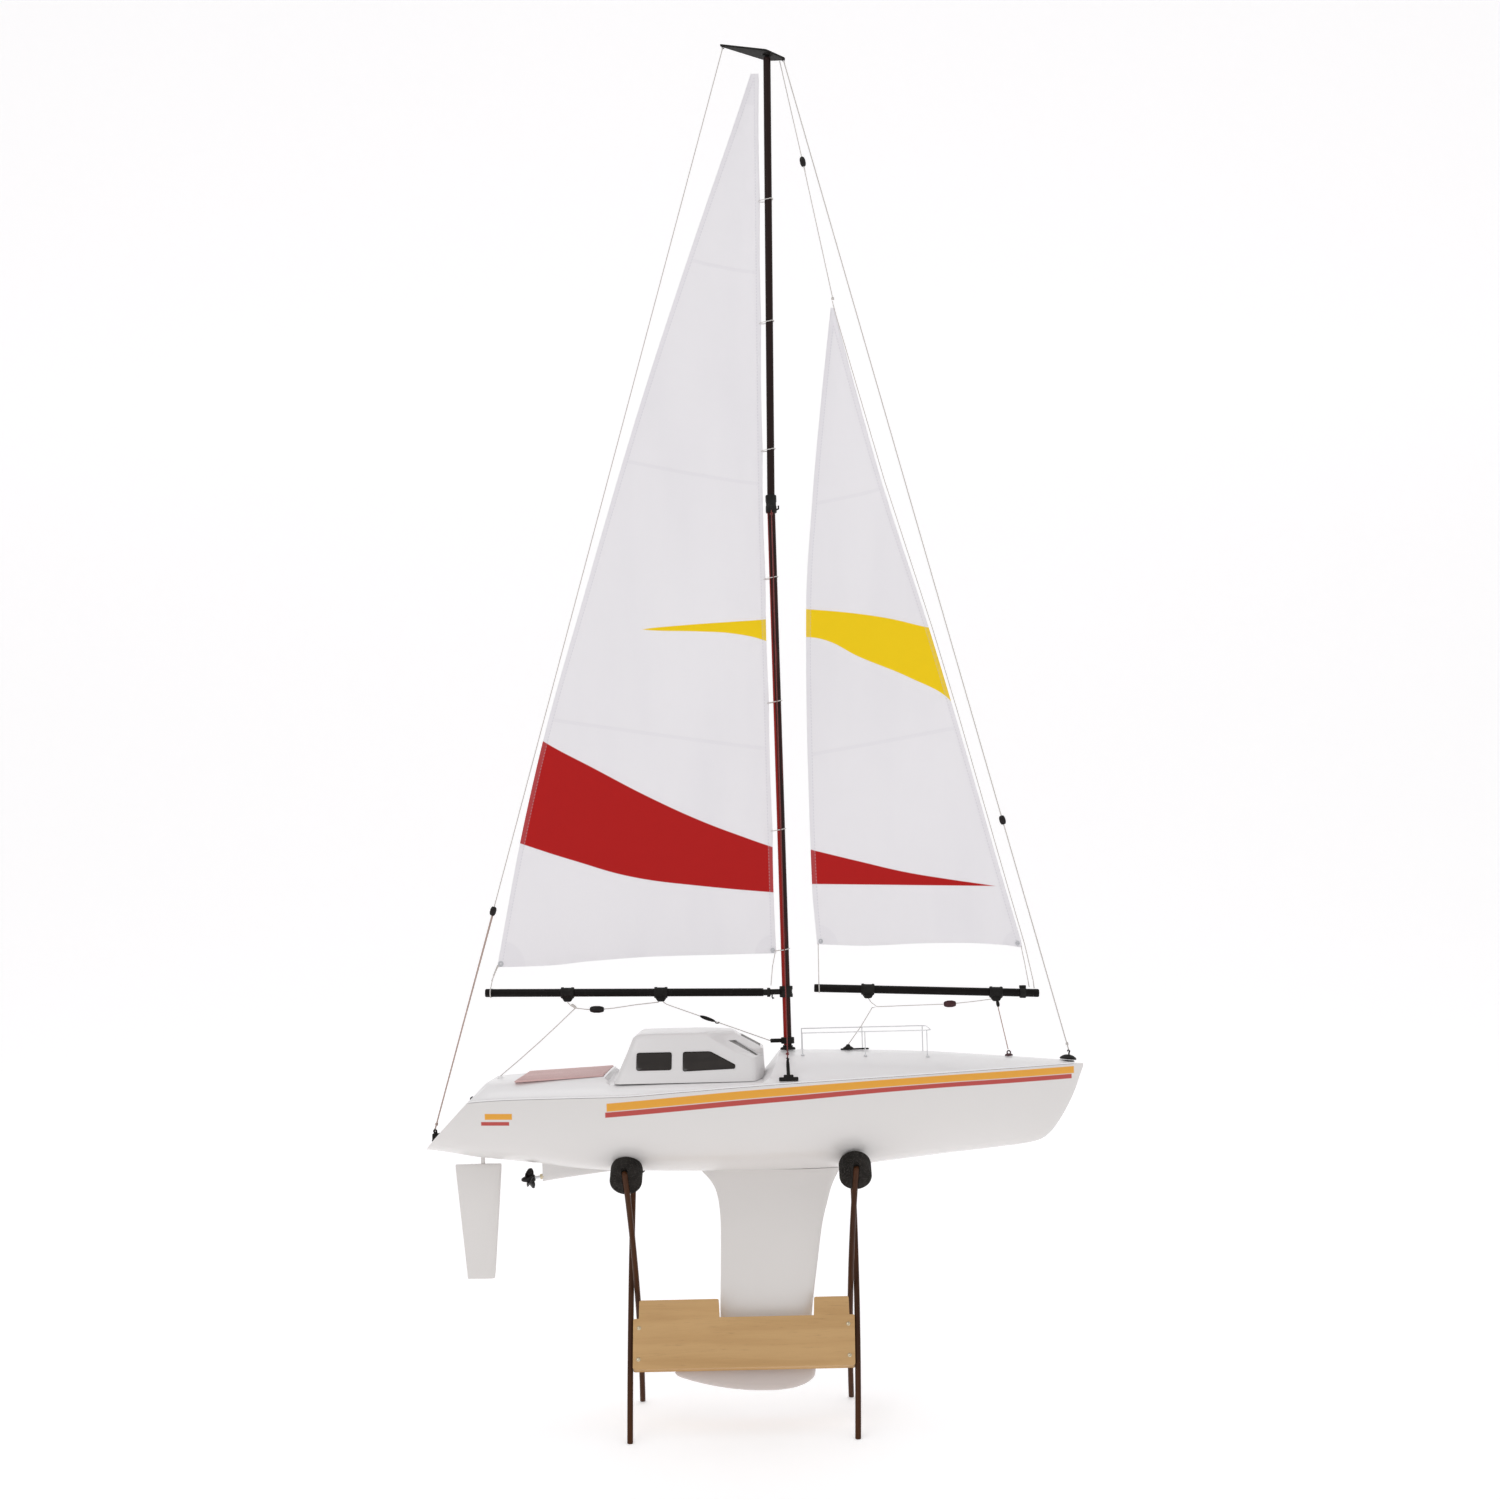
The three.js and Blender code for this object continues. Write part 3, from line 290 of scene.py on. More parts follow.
def tube_mat(name, left, painted_shade_colour=None, edge=None, rough=(0.3, 0.44)):
    """Anodised spar tube; with a second colour, one side of the tube is left's colour and the other is darkened to the
    second colour as painted shade, along a line of (z, x).
    """
    m = Mat(name, left, coat=0.0, spec=0.1)
    # painted shade: the tube's forward side, away from the key light, is painted in the darker second colour
    if painted_shade_colour is not None:
        # x of the mast's axis plus an offset that shrinks with height
        z = m.xyz()[2]
        off = m.math("SUBTRACT", m.xyz()[0], m.math("SUBTRACT", 0.0338, m.math("MULTIPLY", z, 0.005534)))
        lim = m.math("SUBTRACT", 0.0022, m.math("MULTIPLY", z, 0.0062))
        m.over(m.ramp(m.math("SUBTRACT", off, lim), -0.0009, 0.0009), painted_shade_colour)
    m.over(m.math("MULTIPLY", m.ramp(m.noise(700, 4, stretch=(1, 1, 0.03)), 0.5, 0.85), 0.25), tuple(min(1, c * 2.2 + 0.02) for c in left))
    m.gloss(240, *rough, stretch=(1, 1, 0.06))
    m.bump(m.noise(1100, 2, stretch=(1, 1, 0.05)), 0.1, 0.0001)
    return m.done()


def wood(name, light, dark, stretch, scale=60, rough=(0.42, 0.62), rings=0.6, coat=0.0, spec=0.4):
    m = Mat(name, light, coat=coat, coat_rough=0.25, spec=spec)
    n = m.noise(scale, 5, stretch=stretch, rough=0.62, distort=0.4)
    m.over(m.math("MULTIPLY", m.ramp(n, 0.35, 0.72), rings), dark)
    fine = m.noise(scale * 9, 3, stretch=stretch, rough=0.7)
    m.over(m.math("MULTIPLY", m.ramp(fine, 0.55, 0.8), 0.45), tuple(c * 0.62 for c in dark))
    m.over(m.math("MULTIPLY", m.ramp(m.noise(14, 2), 0.4, 0.8), 0.25), tuple(min(1, c * 1.15) for c in light))
    m.gloss(scale * 2, *rough, stretch=stretch)
    m.bump(fine, 0.3, 0.0003)
    return m.done()


def cord_mat(name, colour, dark, pitch=900):
    m = Mat(name, colour, rough=0.75, sheen=0.3)
    w = m.wave(pitch, "DIAGONAL")
    w2 = m.wave(pitch, "DIAGONAL", stretch=(1, 1, -1))
    both = m.math("MULTIPLY", w, w2)
    m.over(m.ramp(both, 0.05, 0.5), dark)
    m.gloss(500, 0.62, 0.85)
    m.bump(both, 0.5, 0.0002)
    return m.done()


def foam_mat(name):
    m = Mat(name, (0.010, 0.0085, 0.007), spec=0.12)
    v = m.n("TexVoronoi")
    m.link(m.coord, v.inputs["Vector"])
    v.inputs["Scale"].default_value = 850
    m.over(m.math("MULTIPLY", m.ramp(m.noise(55, 4), 0.35, 0.8), 0.7), (0.035, 0.031, 0.028))
    m.over(m.math("MULTIPLY", m.ramp(v.outputs["Distance"], 0.55, 0.8), 0.4), (0.07, 0.065, 0.06))
    m.gloss(200, 0.62, 0.85)
    m.bump(v.outputs["Distance"], 0.5, 0.0004)
    m.bump(m.noise(70, 3), 0.35, 0.0008)
    return m.done()


def panel_mat(name):
    """Non-slip cockpit panel: brown-pink with fine planking lines."""
    m = Mat(name, (0.65, 0.435, 0.42), spec=0.3)
    m.over(m.math("MULTIPLY", m.ramp(m.noise(70, 5, stretch=(0.15, 1, 1)), 0.35, 0.75), 0.5), (0.52, 0.33, 0.32))
    m.over(m.math("MULTIPLY", m.ramp(m.noise(900, 3, stretch=(0.06, 1, 1)), 0.5, 0.8), 0.4), (0.76, 0.56, 0.54))
    y = m.xyz()[1]
    s = m.math("ABSOLUTE", m.math("SUBTRACT", m.math("FRACT", m.math("DIVIDE", y, 0.006)), 0.5))
    seam = m.ramp(s, 0.455, 0.495)
    m.over(m.math("MULTIPLY", seam, 0.7), (0.33, 0.20, 0.19))
    m.gloss(120, 0.5, 0.7)
    m.bump(m.math("SUBTRACT", 1.0, seam), 0.5, 0.0004)
    m.bump(m.noise(1400, 2), 0.25, 0.0002)
    return m.done()


def sail_mat(name, luff, bands, corners, seams, leech):
    """Light sailcloth: coloured bands, seams across the cloth, tablings along the edges, corner patches, a fine weave."""
    m = Mat(name, (0.95, 0.938, 0.955), spec=0.18, sheen=0.06)
    m.b.inputs["Sheen Roughness"].default_value = 0.5
    # painted shade: faint darker lavender streaks running up the cloth stand in for the shade of soft vertical folds
    m.over(m.math("MULTIPLY", m.ramp(m.noise(7, 3, stretch=(2.2, 1, 0.5)), 0.35, 0.75), 0.35), (0.89, 0.878, 0.905))
    # seams between the cloths
    seam_mask = None
    x, z = m.xyz()[0], m.xyz()[2]
    for (z0, slope) in seams:
        d = m.math("ABSOLUTE", m.math("SUBTRACT", z, m.math("ADD", z0 * MM, m.math("MULTIPLY", x, slope))))
        s = m.math("SUBTRACT", 1.0, m.ramp(d, 0.0016, 0.0021))
        seam_mask = s if seam_mask is None else m.math("MAXIMUM", seam_mask, s)
    # tablings
    d1 = m.math("SUBTRACT", m.line_z(luff), x)
    d2 = m.math("SUBTRACT", x, m.line_z(leech))
    tab = m.math("SUBTRACT", 1.0, m.ramp(m.math("MINIMUM", d1, d2), 0.0048, 0.0055))
    stitch = m.math("MULTIPLY", m.math("SUBTRACT", 1.0, m.ramp(m.math("ABSOLUTE", m.math("SUBTRACT", m.math("MINIMUM", d1, d2), 0.0046)), 0.0003, 0.0006)), m.math("GREATER_THAN", m.math("FRACT", m.math("DIVIDE", z, 0.0032)), 0.4))
    patch = None
    for cx, cz, r in corners:
        dx = m.math("SUBTRACT", x, cx * MM)
        dz = m.math("SUBTRACT", z, cz * MM)
        d = m.math("SQRT", m.math("ADD", m.math("MULTIPLY", dx, dx), m.math("MULTIPLY", dz, dz)))
        p = m.math("SUBTRACT", 1.0, m.ramp(d, (r - 0.6) * MM, (r + 0.6) * MM))
        patch = p if patch is None else m.math("MAXIMUM", patch, p)
    over = m.math("MAXIMUM", m.math("MAXIMUM", tab, patch), seam_mask if seam_mask is not None else 0.0)
    for top, bottom, colour in bands:
        m.over(m.band(m.line(top), m.line(bottom)), colour)
    m.over(m.math("MULTIPLY", over, 0.10), (0.70, 0.68, 0.74))
    m.over(m.math("MULTIPLY", stitch, 0.28), (0.62, 0.60, 0.66))
    weave = m.math("MULTIPLY", m.wave(520, "X"), m.wave(520, "Z"))
    m.over(m.math("MULTIPLY", weave, 0.035), (0.3, 0.3, 0.33))
    m.gloss(40, 0.42, 0.6)
    m.bump(weave, 0.10, 0.0001)
    m.bump(over, 0.35, 0.0003)
    m.bump(m.noise(16, 3, stretch=(1, 1, 0.35)), 0.35, 0.003)
    m.bump(m.noise(46, 3, stretch=(1.3, 1, 0.5)), 0.2, 0.0012)
    # a little light comes through the cloth
    tr = m.n("BsdfTranslucent")
    if m.colour is not None:
        m.link(m.colour, tr.inputs[0])
    mx = m.n("MixShader")
    mx.inputs[0].default_value = 0.28
    mat = m.done()
    out = m.t.nodes["Material Output"]
    m.link(m.b.outputs[0], mx.inputs[1])
    m.link(tr.outputs[0], mx.inputs[2])
    m.link(mx.outputs[0], out.inputs[0])
    return mat


def line_z(self, points):
    """A value that follows points of (z, x) in mm as a function of the object's z, in metres."""
    zs = [p[0] for p in points]
    xs = [p[1] for p in points]
    z0, z1, x0, x1 = min(zs), max(zs), min(xs) - 1, max(xs) + 1
    t = self.n("MapRange", clamp=True)
    self.link(self.xyz()[2], t.inputs["Value"])
    t.inputs["From Min"].default_value, t.inputs["From Max"].default_value = z0 * MM, z1 * MM
    fc = self.n("FloatCurve")
    c = fc.mapping.curves[0]
    pts = sorted(points)
    for k, (z, x) in enumerate(pts):
        u, v = (z - z0) / (z1 - z0), (x - x0) / (x1 - x0)
        if k == 0:
            c.points[0].location = (u, v)
        elif k == len(pts) - 1:
            c.points[-1].location = (u, v)
        else:
            c.points.new(u, v)
    fc.mapping.update()
    self.link(t.outputs[0], fc.inputs["Value"])
    out = self.n("MapRange", clamp=False)
    self.link(fc.outputs[0], out.inputs["Value"])
    out.inputs["To Min"].default_value, out.inputs["To Max"].default_value = x0 * MM, x1 * MM
    return out.outputs[0]


Mat.line_z = line_z

M_HULL = gelcoat("hull_gelcoat", stripes=True)
M_DECK = gelcoat("deck_gelcoat", colour=(0.86, 0.85, 0.855), rough=(0.34, 0.38), tint=(0.80, 0.79, 0.79))
M_CABIN = gelcoat("cabin_gelcoat", colour=(0.77, 0.755, 0.755), rough=(0.33, 0.37), tint=(0.70, 0.685, 0.68))
M_FIN = gelcoat("fin_paint", colour=(0.745, 0.72, 0.70), rough=(0.34, 0.5))
M_LEAD = gelcoat("painted_lead", colour=(0.60, 0.535, 0.505), rough=(0.36, 0.52), tint=(0.52, 0.455, 0.425))
M_BLACK = plastic("black_plastic", (0.009, 0.008, 0.007), rough=(0.42, 0.6), spec=0.16)
M_BLACK_GLOSS = plastic("black_gloss", (0.008, 0.006, 0.006), rough=(0.22, 0.38), coat=0.08, spec=0.2)
M_WINE = plastic("bowsie_plastic", (0.045, 0.008, 0.010), rough=(0.3, 0.45), spec=0.35)
M_BOOM = tube_mat("boom_tube", (0.006, 0.0045, 0.004))
# lower mast: red tube with a painted shade down its forward side
M_MAST_LOW = tube_mat("mast_red_with_painted_shade", (0.27, 0.011, 0.008), painted_shade_colour=(0.022, 0.011, 0.010), edge=True)
M_MAST_UP = tube_mat("mast_upper_tube", (0.020, 0.011, 0.010))
M_DOWEL = wood("dowel_stain", (0.062, 0.021, 0.006), (0.025, 0.008, 0.003), (1, 0.16, 0.1), scale=90, rough=(0.34, 0.5), coat=0.03, spec=0.14)
M_BOARD = wood("board_pine", (0.60, 0.375, 0.165), (0.45, 0.25, 0.09), (0.07, 1, 1), scale=70, rings=0.55)
M_PLY = wood("tray_ply", (0.55, 0.36, 0.18), (0.36, 0.21, 0.09), (0.1, 1, 1), scale=60)
M_FOAM = foam_mat("pad_foam")
M_PANEL = panel_mat("cockpit_nonslip")
M_PALE = cord_mat("line_pale", (0.72, 0.69, 0.66), (0.5, 0.47, 0.44))
M_PALE_RED = cord_mat("line_beige", (0.56, 0.43, 0.38), (0.36, 0.24, 0.2))
M_DARK_CORD = cord_mat("line_dark", (0.21, 0.013, 0.010), (0.11, 0.009, 0.008))
M_STEEL = metal("steel", (0.62, 0.63, 0.65))
M_BRASS = metal("brass", (0.64, 0.55, 0.38))
M_RAIL = plastic("rail_wire", (0.72, 0.725, 0.735), rough=(0.25, 0.4), coat=0.15)
M_BLUE = plastic("case_blue", (0.028, 0.07, 0.26), rough=(0.25, 0.4), coat=0.2)
M_GREEN = plastic("wrap_green", (0.05, 0.15, 0.07), rough=(0.2, 0.38), coat=0.3)


def window_mat(name, colour, rough):
    m = Mat(name, colour, spec=0.3, coat=0.22, coat_rough=0.05)
    # painted reflection: lighter streaks across the glass
    m.over(m.math("MULTIPLY", m.ramp(m.noise(35, 3, stretch=(1, 1, 2)), 0.35, 0.8), 0.6), tuple(c * 1.9 + 0.004 for c in colour))
    m.gloss(60, rough * 0.7, rough * 1.4)
    m.bump(m.noise(60, 2), 0.06, 0.0006)
    return m.done()


M_WINDOW = window_mat("window_dark", (0.016, 0.012, 0.010), 0.1)
M_SCREEN = window_mat("window_grey", (0.20, 0.195, 0.19), 0.22)


# ------------------------------------------------------------------ mesh building (millimetres)
def V(*a):
    return Vector(a)


def frame_of(d):
    d = d.normalized()
    u = V(1, 0, 0) if abs(d.x) < 0.9 else V(0, 1, 0)
    u = (u - d * u.dot(d)).normalized()
    return u, d.cross(u)


class Build:
    """Collects closed shells, each facing outwards, and makes one object of them."""

    def __init__(self):
        self.v, self.f = [], []

    def add(self, verts, faces):
        vol = 0.0
        for f in faces:
            a = verts[f[0]]
            for i in range(1, len(f) - 1):
                vol += a.dot(verts[f[i]].cross(verts[f[i + 1]]))
        if vol < 0:
            faces = [tuple(reversed(f)) for f in faces]
        k = len(self.v)
        self.v += verts
        self.f += [tuple(i + k for i in f) for f in faces]
        return self

    def rings(self, rings, cap=True):
        n = len(rings[0])
        verts = [p for r in rings for p in r]
        faces = [(k * n + i, k * n + (i + 1) % n, (k + 1) * n + (i + 1) % n, (k + 1) * n + i) for k in range(len(rings) - 1) for i in range(n)]
        if cap:
            faces.append(tuple(reversed(range(n))))
            faces.append(tuple((len(rings) - 1) * n + i for i in range(n)))
        return self.add(verts, faces)

    def closed(self, rings):
        """Rings joined round into a torus-like shell."""
        n, m = len(rings[0]), len(rings)
        verts = [p for r in rings for p in r]
        faces = [(k * n + i, k * n + (i + 1) % n, ((k + 1) % m) * n + (i + 1) % n, ((k + 1) % m) * n + i) for k in range(m) for i in range(n)]
        return self.add(verts, faces)

    def tube(self, pts, r, sides=16, loop=False, round_end=True):
        """Round tube along points; r is a number or one for each point."""
        pts = [V(*p) for p in pts]
        rad = list(r) if hasattr(r, "__len__") else [r] * len(pts)
        m = len(pts)
        rings, u = [], None
        for i in range(m):
            a = pts[(i - 1) % m] if loop or i else pts[0]
            b = pts[(i + 1) % m] if loop or i < m - 1 else pts[-1]
            d = (b - a).normalized()
            if u is None:
                u, w = frame_of(d)
            else:
                u = (u - d * u.dot(d)).normalized()
                w = d.cross(u)
            rings.append((pts[i], u.copy(), w.copy(), rad[i], d))
        circle = lambda c, u, w, q: [c + u * (q * math.cos(2 * math.pi * j / sides)) + w * (q * math.sin(2 * math.pi * j / sides)) for j in range(sides)]
        out = [circle(c, u, w, q) for c, u, w, q, d in rings]
        if loop:
            return self.closed(out)
        if round_end:
            c, u, w, q, d = rings[0]
            out = [circle(c - d * q * 0.42, u, w, q * 0.45), circle(c - d * q * 0.28, u, w, q * 0.8)] + out
            c, u, w, q, d = rings[-1]
            out += [circle(c + d * q * 0.28, u, w, q * 0.8), circle(c + d * q * 0.42, u, w, q * 0.45)]
        return self.rings(out)

    def lathe(self, profile, p, d, seg=32):
        """Profile of (radius, height) from p along d; a radius of 0 at an end closes there."""
        p, d = V(*p), V(*d).normalized()
        u, w = frame_of(d)
        verts, faces, rows = [], [], []
        for r, h in profile:
            c = p + d * h
            if r < 1e-6:
                rows.append([len(verts)])
                verts.append(c)
            else:
                rows.append(list(range(len(verts), len(verts) + seg)))
                verts += [c + u * (r * math.cos(2 * math.pi * j / seg)) + w * (r * math.sin(2 * math.pi * j / seg)) for j in range(seg)]
        for a, b in zip(rows, rows[1:]):
            for j in range(seg):
                k = (j + 1) % seg
                if len(a) == 1 and len(b) == 1:
                    continue
                if len(a) == 1:
                    faces.append((a[0], b[k], b[j]))
                elif len(b) == 1:
                    faces.append((a[j], a[k], b[0]))
                else:
                    faces.append((a[j], a[k], b[k], b[j]))
        if len(rows[0]) > 1 and profile[0] == profile[-1]:
            # a closed ring: weld the last row to the first
            last, first = rows[-1], rows[0]
            faces = [tuple(first[last.index(i)] if i in last else i for i in f) for f in faces]
            keep = len(verts) - seg
            verts = verts[:keep]
        return self.add(verts, faces)

    def rbox(self, x0, x1, y0, y1, z0, z1, r=0.6, seg=3, turn=None):
        """Box with rounded vertical edges and a small chamfer at top and bottom."""
        r = min(r, (x1 - x0) / 2.05, (y1 - y0) / 2.05)
        c = min(r, (z1 - z0) / 2.2)

        def ring(z, inset):
            q = max(r - inset, r * 0.15)
            pts = []
            for cx, cy, a0 in ((x1 - inset - q, y1 - inset - q, 0), (x0 + inset + q, y1 - inset - q, 90), (x0 + inset + q, y0 + inset + q, 180), (x1 - inset - q, y0 + inset + q, 270)):
                for k in range(seg + 1):
                    a = math.radians(a0 + 90 * k / seg)
                    pts.append(V(cx + q * math.cos(a), cy + q * math.sin(a), z))
            return pts

        rs = [ring(z0, c * 0.8), ring(z0 + c * 0.25, c * 0.25), ring(z0 + c, 0), ring(z1 - c, 0), ring(z1 - c * 0.25, c * 0.25), ring(z1, c * 0.8)]
        if turn:
            rs = [[turn(p) for p in q] for q in rs]
        return self.rings(rs)

    def plate(self, outline, lift, t, r=0.35):
        """Flat plate with softened edges: outline of 2-D points, lift maps (a, b, h) to a point."""
        n = len(outline)
        cx, cy = sum(p[0] for p in outline) / n, sum(p[1] for p in outline) / n

        def inset(k):
            out = []
            for x, y in outline:
                d = math.hypot(x - cx, y - cy) or 1
                out.append((x - (x - cx) / d * k, y - (y - cy) / d * k))
            return out

        rs = []
        for h, k in ((-t / 2, r), (-t / 2 + r, 0), (t / 2 - r, 0), (t / 2, r)):
            rs.append([lift(x, y, h) for x, y in inset(k)])
        return self.rings(rs)

    def make(self, name, mat, body, replaces=(), slot=None, sharp=38, mesh_only=False):
        me = bpy.data.meshes.new(name)
        me.from_pydata([p * MM for p in self.v], [], self.f)
        me.update()
        me.shade_smooth()
        me.set_sharp_from_angle(angle=math.radians(sharp))
        o = bpy.data.objects.new(name, me)
        bpy.context.scene.collection.objects.link(o)
        if mesh_only:
            return o
        return dress(o, mat, body, replaces)


def dress(o, mat, body, replaces=()):
    for m in mat if isinstance(mat, (list, tuple)) else [mat]:
        o.data.materials.append(m)
    if body:
        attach(o, body)
    if replaces:
        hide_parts(*replaces)
    return o


def boolean(a, b, op="DIFFERENCE", drop=True):
    m = a.modifiers.new("b", "BOOLEAN")
    m.operation, m.object, m.solver = op, b, "EXACT"
    dg = bpy.context.evaluated_depsgraph_get()
    me = bpy.data.meshes.new_from_object(a.evaluated_get(dg))
    a.modifiers.clear()
    a.data = me
    if drop:
        bpy.data.objects.remove(b)
    return a


def resharpen(o, sharp=35):
    o.data.shade_smooth()
    o.data.set_sharp_from_angle(angle=math.radians(sharp))


def mono(table):
    """Monotone cubic through (x, value)."""
    n = len(table)
    h = [table[i + 1][0] - table[i][0] for i in range(n - 1)]
    d = [(table[i + 1][1] - table[i][1]) / h[i] for i in range(n - 1)]
    m = [d[0]]
    for i in range(1, n - 1):
        if d[i - 1] * d[i] <= 0:
            m.append(0.0)
        else:
            w1, w2 = 2 * h[i] + h[i - 1], h[i] + 2 * h[i - 1]
            m.append((w1 + w2) / (w1 / d[i - 1] + w2 / d[i]))
    m.append(d[-1])

    def at(x):
        if x <= table[0][0]:
            return table[0][1]
        if x >= table[-1][0]:
            return table[-1][1]
        i = 0
        while x > table[i + 1][0]:
            i += 1
        t = (x - table[i][0]) / h[i]
        t2, t3 = t * t, t * t * t
        return (2 * t3 - 3 * t2 + 1) * table[i][1] + (t3 - 2 * t2 + t) * h[i] * m[i] + (-2 * t3 + 3 * t2) * table[i + 1][1] + (t3 - t2) * h[i] * m[i + 1]

    return at


def lin(table):
    def at(x):
        if x <= table[0][0]:
            return table[0][1]
        for (x0, v0), (x1, v1) in zip(table, table[1:]):
            if x <= x1:
                return v0 + (v1 - v0) * (x - x0) / (x1 - x0)
        return table[-1][1]

    return at


# ------------------------------------------------------------------ hull lines, as in the CAD
SHEER = [(-323, 311), (-264, 318.4), (-233, 320), (-185, 321), (-128, 321.8), (-76, 325), (-15, 328.7), (33, 331.2), (167, 335.4), (236, 336.8), (323, 337.4)]
KEEL = [(-323, 268.5), (-302, 265.2), (-277, 260.6), (-253, 257.8), (-221, 254), (-180, 248.2), (-148, 245.3), (-114, 244), (-60, 242.6), (0, 242), (60, 242.4), (85, 243.4), (121, 247), (173, 252), (237, 257.8), (266, 261), (280, 264.6), (288.7, 271), (299.9, 285.4), (313.7, 310.4), (320.5, 328), (323, 334)]
BEAM = [(-323, 50), (-274, 59), (-220, 70), (-160, 79.5), (-100, 85.5), (-40, 88), (20, 88), (80, 84), (140, 74), (200, 57.5), (250, 38.5), (290, 19), (312, 7.2), (323, 1.4)]
FULLNESS = [(-323, 2.7), (-200, 2.6), (0, 2.5), (120, 2.25), (220, 1.8), (290, 1.45), (323, 1.25)]
DECK_TOP = [(-278, 321.2), (-274, 323.5), (-262, 335.2), (-250, 336.2), (-143, 341), (-138, 333), (-60, 333), (10, 333), (14.5, 356.4), (44, 356.6), (110, 355), (172, 352.4), (241, 346.6), (300, 341.6), (314, 340.2)]
DECK_FULL = [(-278, 10), (-143, 11), (-138, 18), (10, 18), (16, 2.6), (110, 2.3), (314, 2)]
sheer, keel, beam, full = mono(SHEER), mono(KEEL), mono(BEAM), mono(FULLNESS)
deck_top, deck_full = lin(DECK_TOP), lin(DECK_FULL)


def transom_x(z, off=0.0):
    return -273.8 + (z - 322.6) * 0.969 + off


def hull_point(s, j, n, grow=0.0, off=0.0, end=323.0, top=0.0):
    """s from the transom (0) to the stem (1); j of n round the section, starboard to port."""
    a = math.pi * j / n
    c, w = math.cos(a), math.sin(a)
    if abs(c) < 1e-9:
        c = 0.0
    if abs(w) < 1e-9:
        w = 0.0
    x = -300.0
    for _ in range(14):
        B, zs, zk, e = max(0.5, beam(x) + grow), sheer(x), keel(x) - grow, 2 / full(x)
        z = zs - (zs - zk) * abs(w) ** e
        xt = transom_x(z, off)
        x = xt + s * (end - xt)
    y = -B * (1 if c > 0 else -1) * abs(c) ** e
    return V(x, y, z)


def hull_grid(ns, n, grow, off, end):
    rows = []
    for i in range(ns + 1):
        s = i / ns
        s = 1 - (1 - s) ** 1.35  # closer together near the stem
        rows.append([hull_point(s, j, n, grow, off, end) for j in range(n + 1)])
    return rows


def shell():
    ns, n = 120, 56
    out, inn = hull_grid(ns, n, 0, 0, 323), hull_grid(ns, n, -2.2, 3.2, 300)
    w = n + 1
    verts = [p for r in out for p in r] + [p for r in inn for p in r]
    k = (ns + 1) * w
    f = []
    for i in range(ns):
        for j in range(n):
            a = i * w + j
            f.append((a, a + 1, a + 1 + w, a + w))
            f.append((k + a, k + a + w, k + a + w + 1, k + a + 1))
        for j in (0, n):
            a = i * w + j
            q = (a, a + w, k + a + w, k + a)
            f.append(q if j == 0 else tuple(reversed(q)))
    for i, flip in ((0, False), (ns, True)):
        o = [i * w + j for j in range(w)]
        q = [k + i * w + j for j in range(w)]
        f.append(tuple(o) if flip else tuple(reversed(o)))
        f.append(tuple(reversed(q)) if flip else tuple(q))
        quad = (o[0], o[-1], q[-1], q[0])
        f.append(tuple(reversed(quad)) if flip else quad)
    return Build().add(verts, f)


def skeg_solid():
    """Fairing under the stern that carries the propeller shaft."""
    rings = []
    for t in [i / 20 for i in range(21)]:
        x = -213.5 + 72 * t
        low = 233.8 + 9.3 * t ** 0.9
        high = keel(x) + 3.0
        w = 2.9 + 1.5 * math.sin(math.pi * min(1, t * 1.25)) * (1 - t)
        ring = []
        for k in range(24):
            a = 2 * math.pi * k / 24
            y = w * math.copysign(abs(math.cos(a)) ** 0.8, math.cos(a))
            z = (low + high) / 2 + (high - low) / 2 * math.copysign(abs(math.sin(a)) ** 0.7, math.sin(a))
            spread = 1 + 1.3 * max(0, (z - (low + high) / 2) / ((high - low) / 2)) ** 3
            ring.append(V(x, y * spread, z))
        rings.append(ring)
    return Build().rings(rings)


TILT = math.radians(8.5)
PROP = (-225.3, 237.0)
AXIS = V(math.cos(TILT), 0, math.sin(TILT))


def shaft_at(x):
    return V(x, 0, PROP[1] + (x - PROP[0]) * math.tan(TILT))


hull = shell().make("hull_moulding", M_HULL, None, mesh_only=True)
boolean(hull, skeg_solid().make("tmp", M_HULL, None, mesh_only=True), "UNION")
boolean(hull, Build().tube([shaft_at(-240), shaft_at(-90)], 2.75, 24).make("tmp", M_HULL, None, mesh_only=True))
trunk = Build().lathe([(3.9, 0), (3.9, 27), (2.3, 27), (2.3, 0), (3.9, 0)], (-272.6, 0, 262.8), (0, 0, 1), 32)
boolean(hull, Build().tube([(-272.6, 0, 240), (-272.6, 0, 300)], 2.32, 24).make("tmp", M_HULL, None, mesh_only=True))
resharpen(hull, 32)
dress(hull, M_HULL, "boat", ["hull_shell"])
trunk.make("rudder_trunk", M_FIN, "boat", slot="hull_white")


# ------------------------------------------------------------------ deck
def deck_z(x, f):
    zs, zt, n = sheer(x), deck_top(x), deck_full(x)
    return zs + 2 + (zt - zs - 2) * (1 - abs(f) ** n)


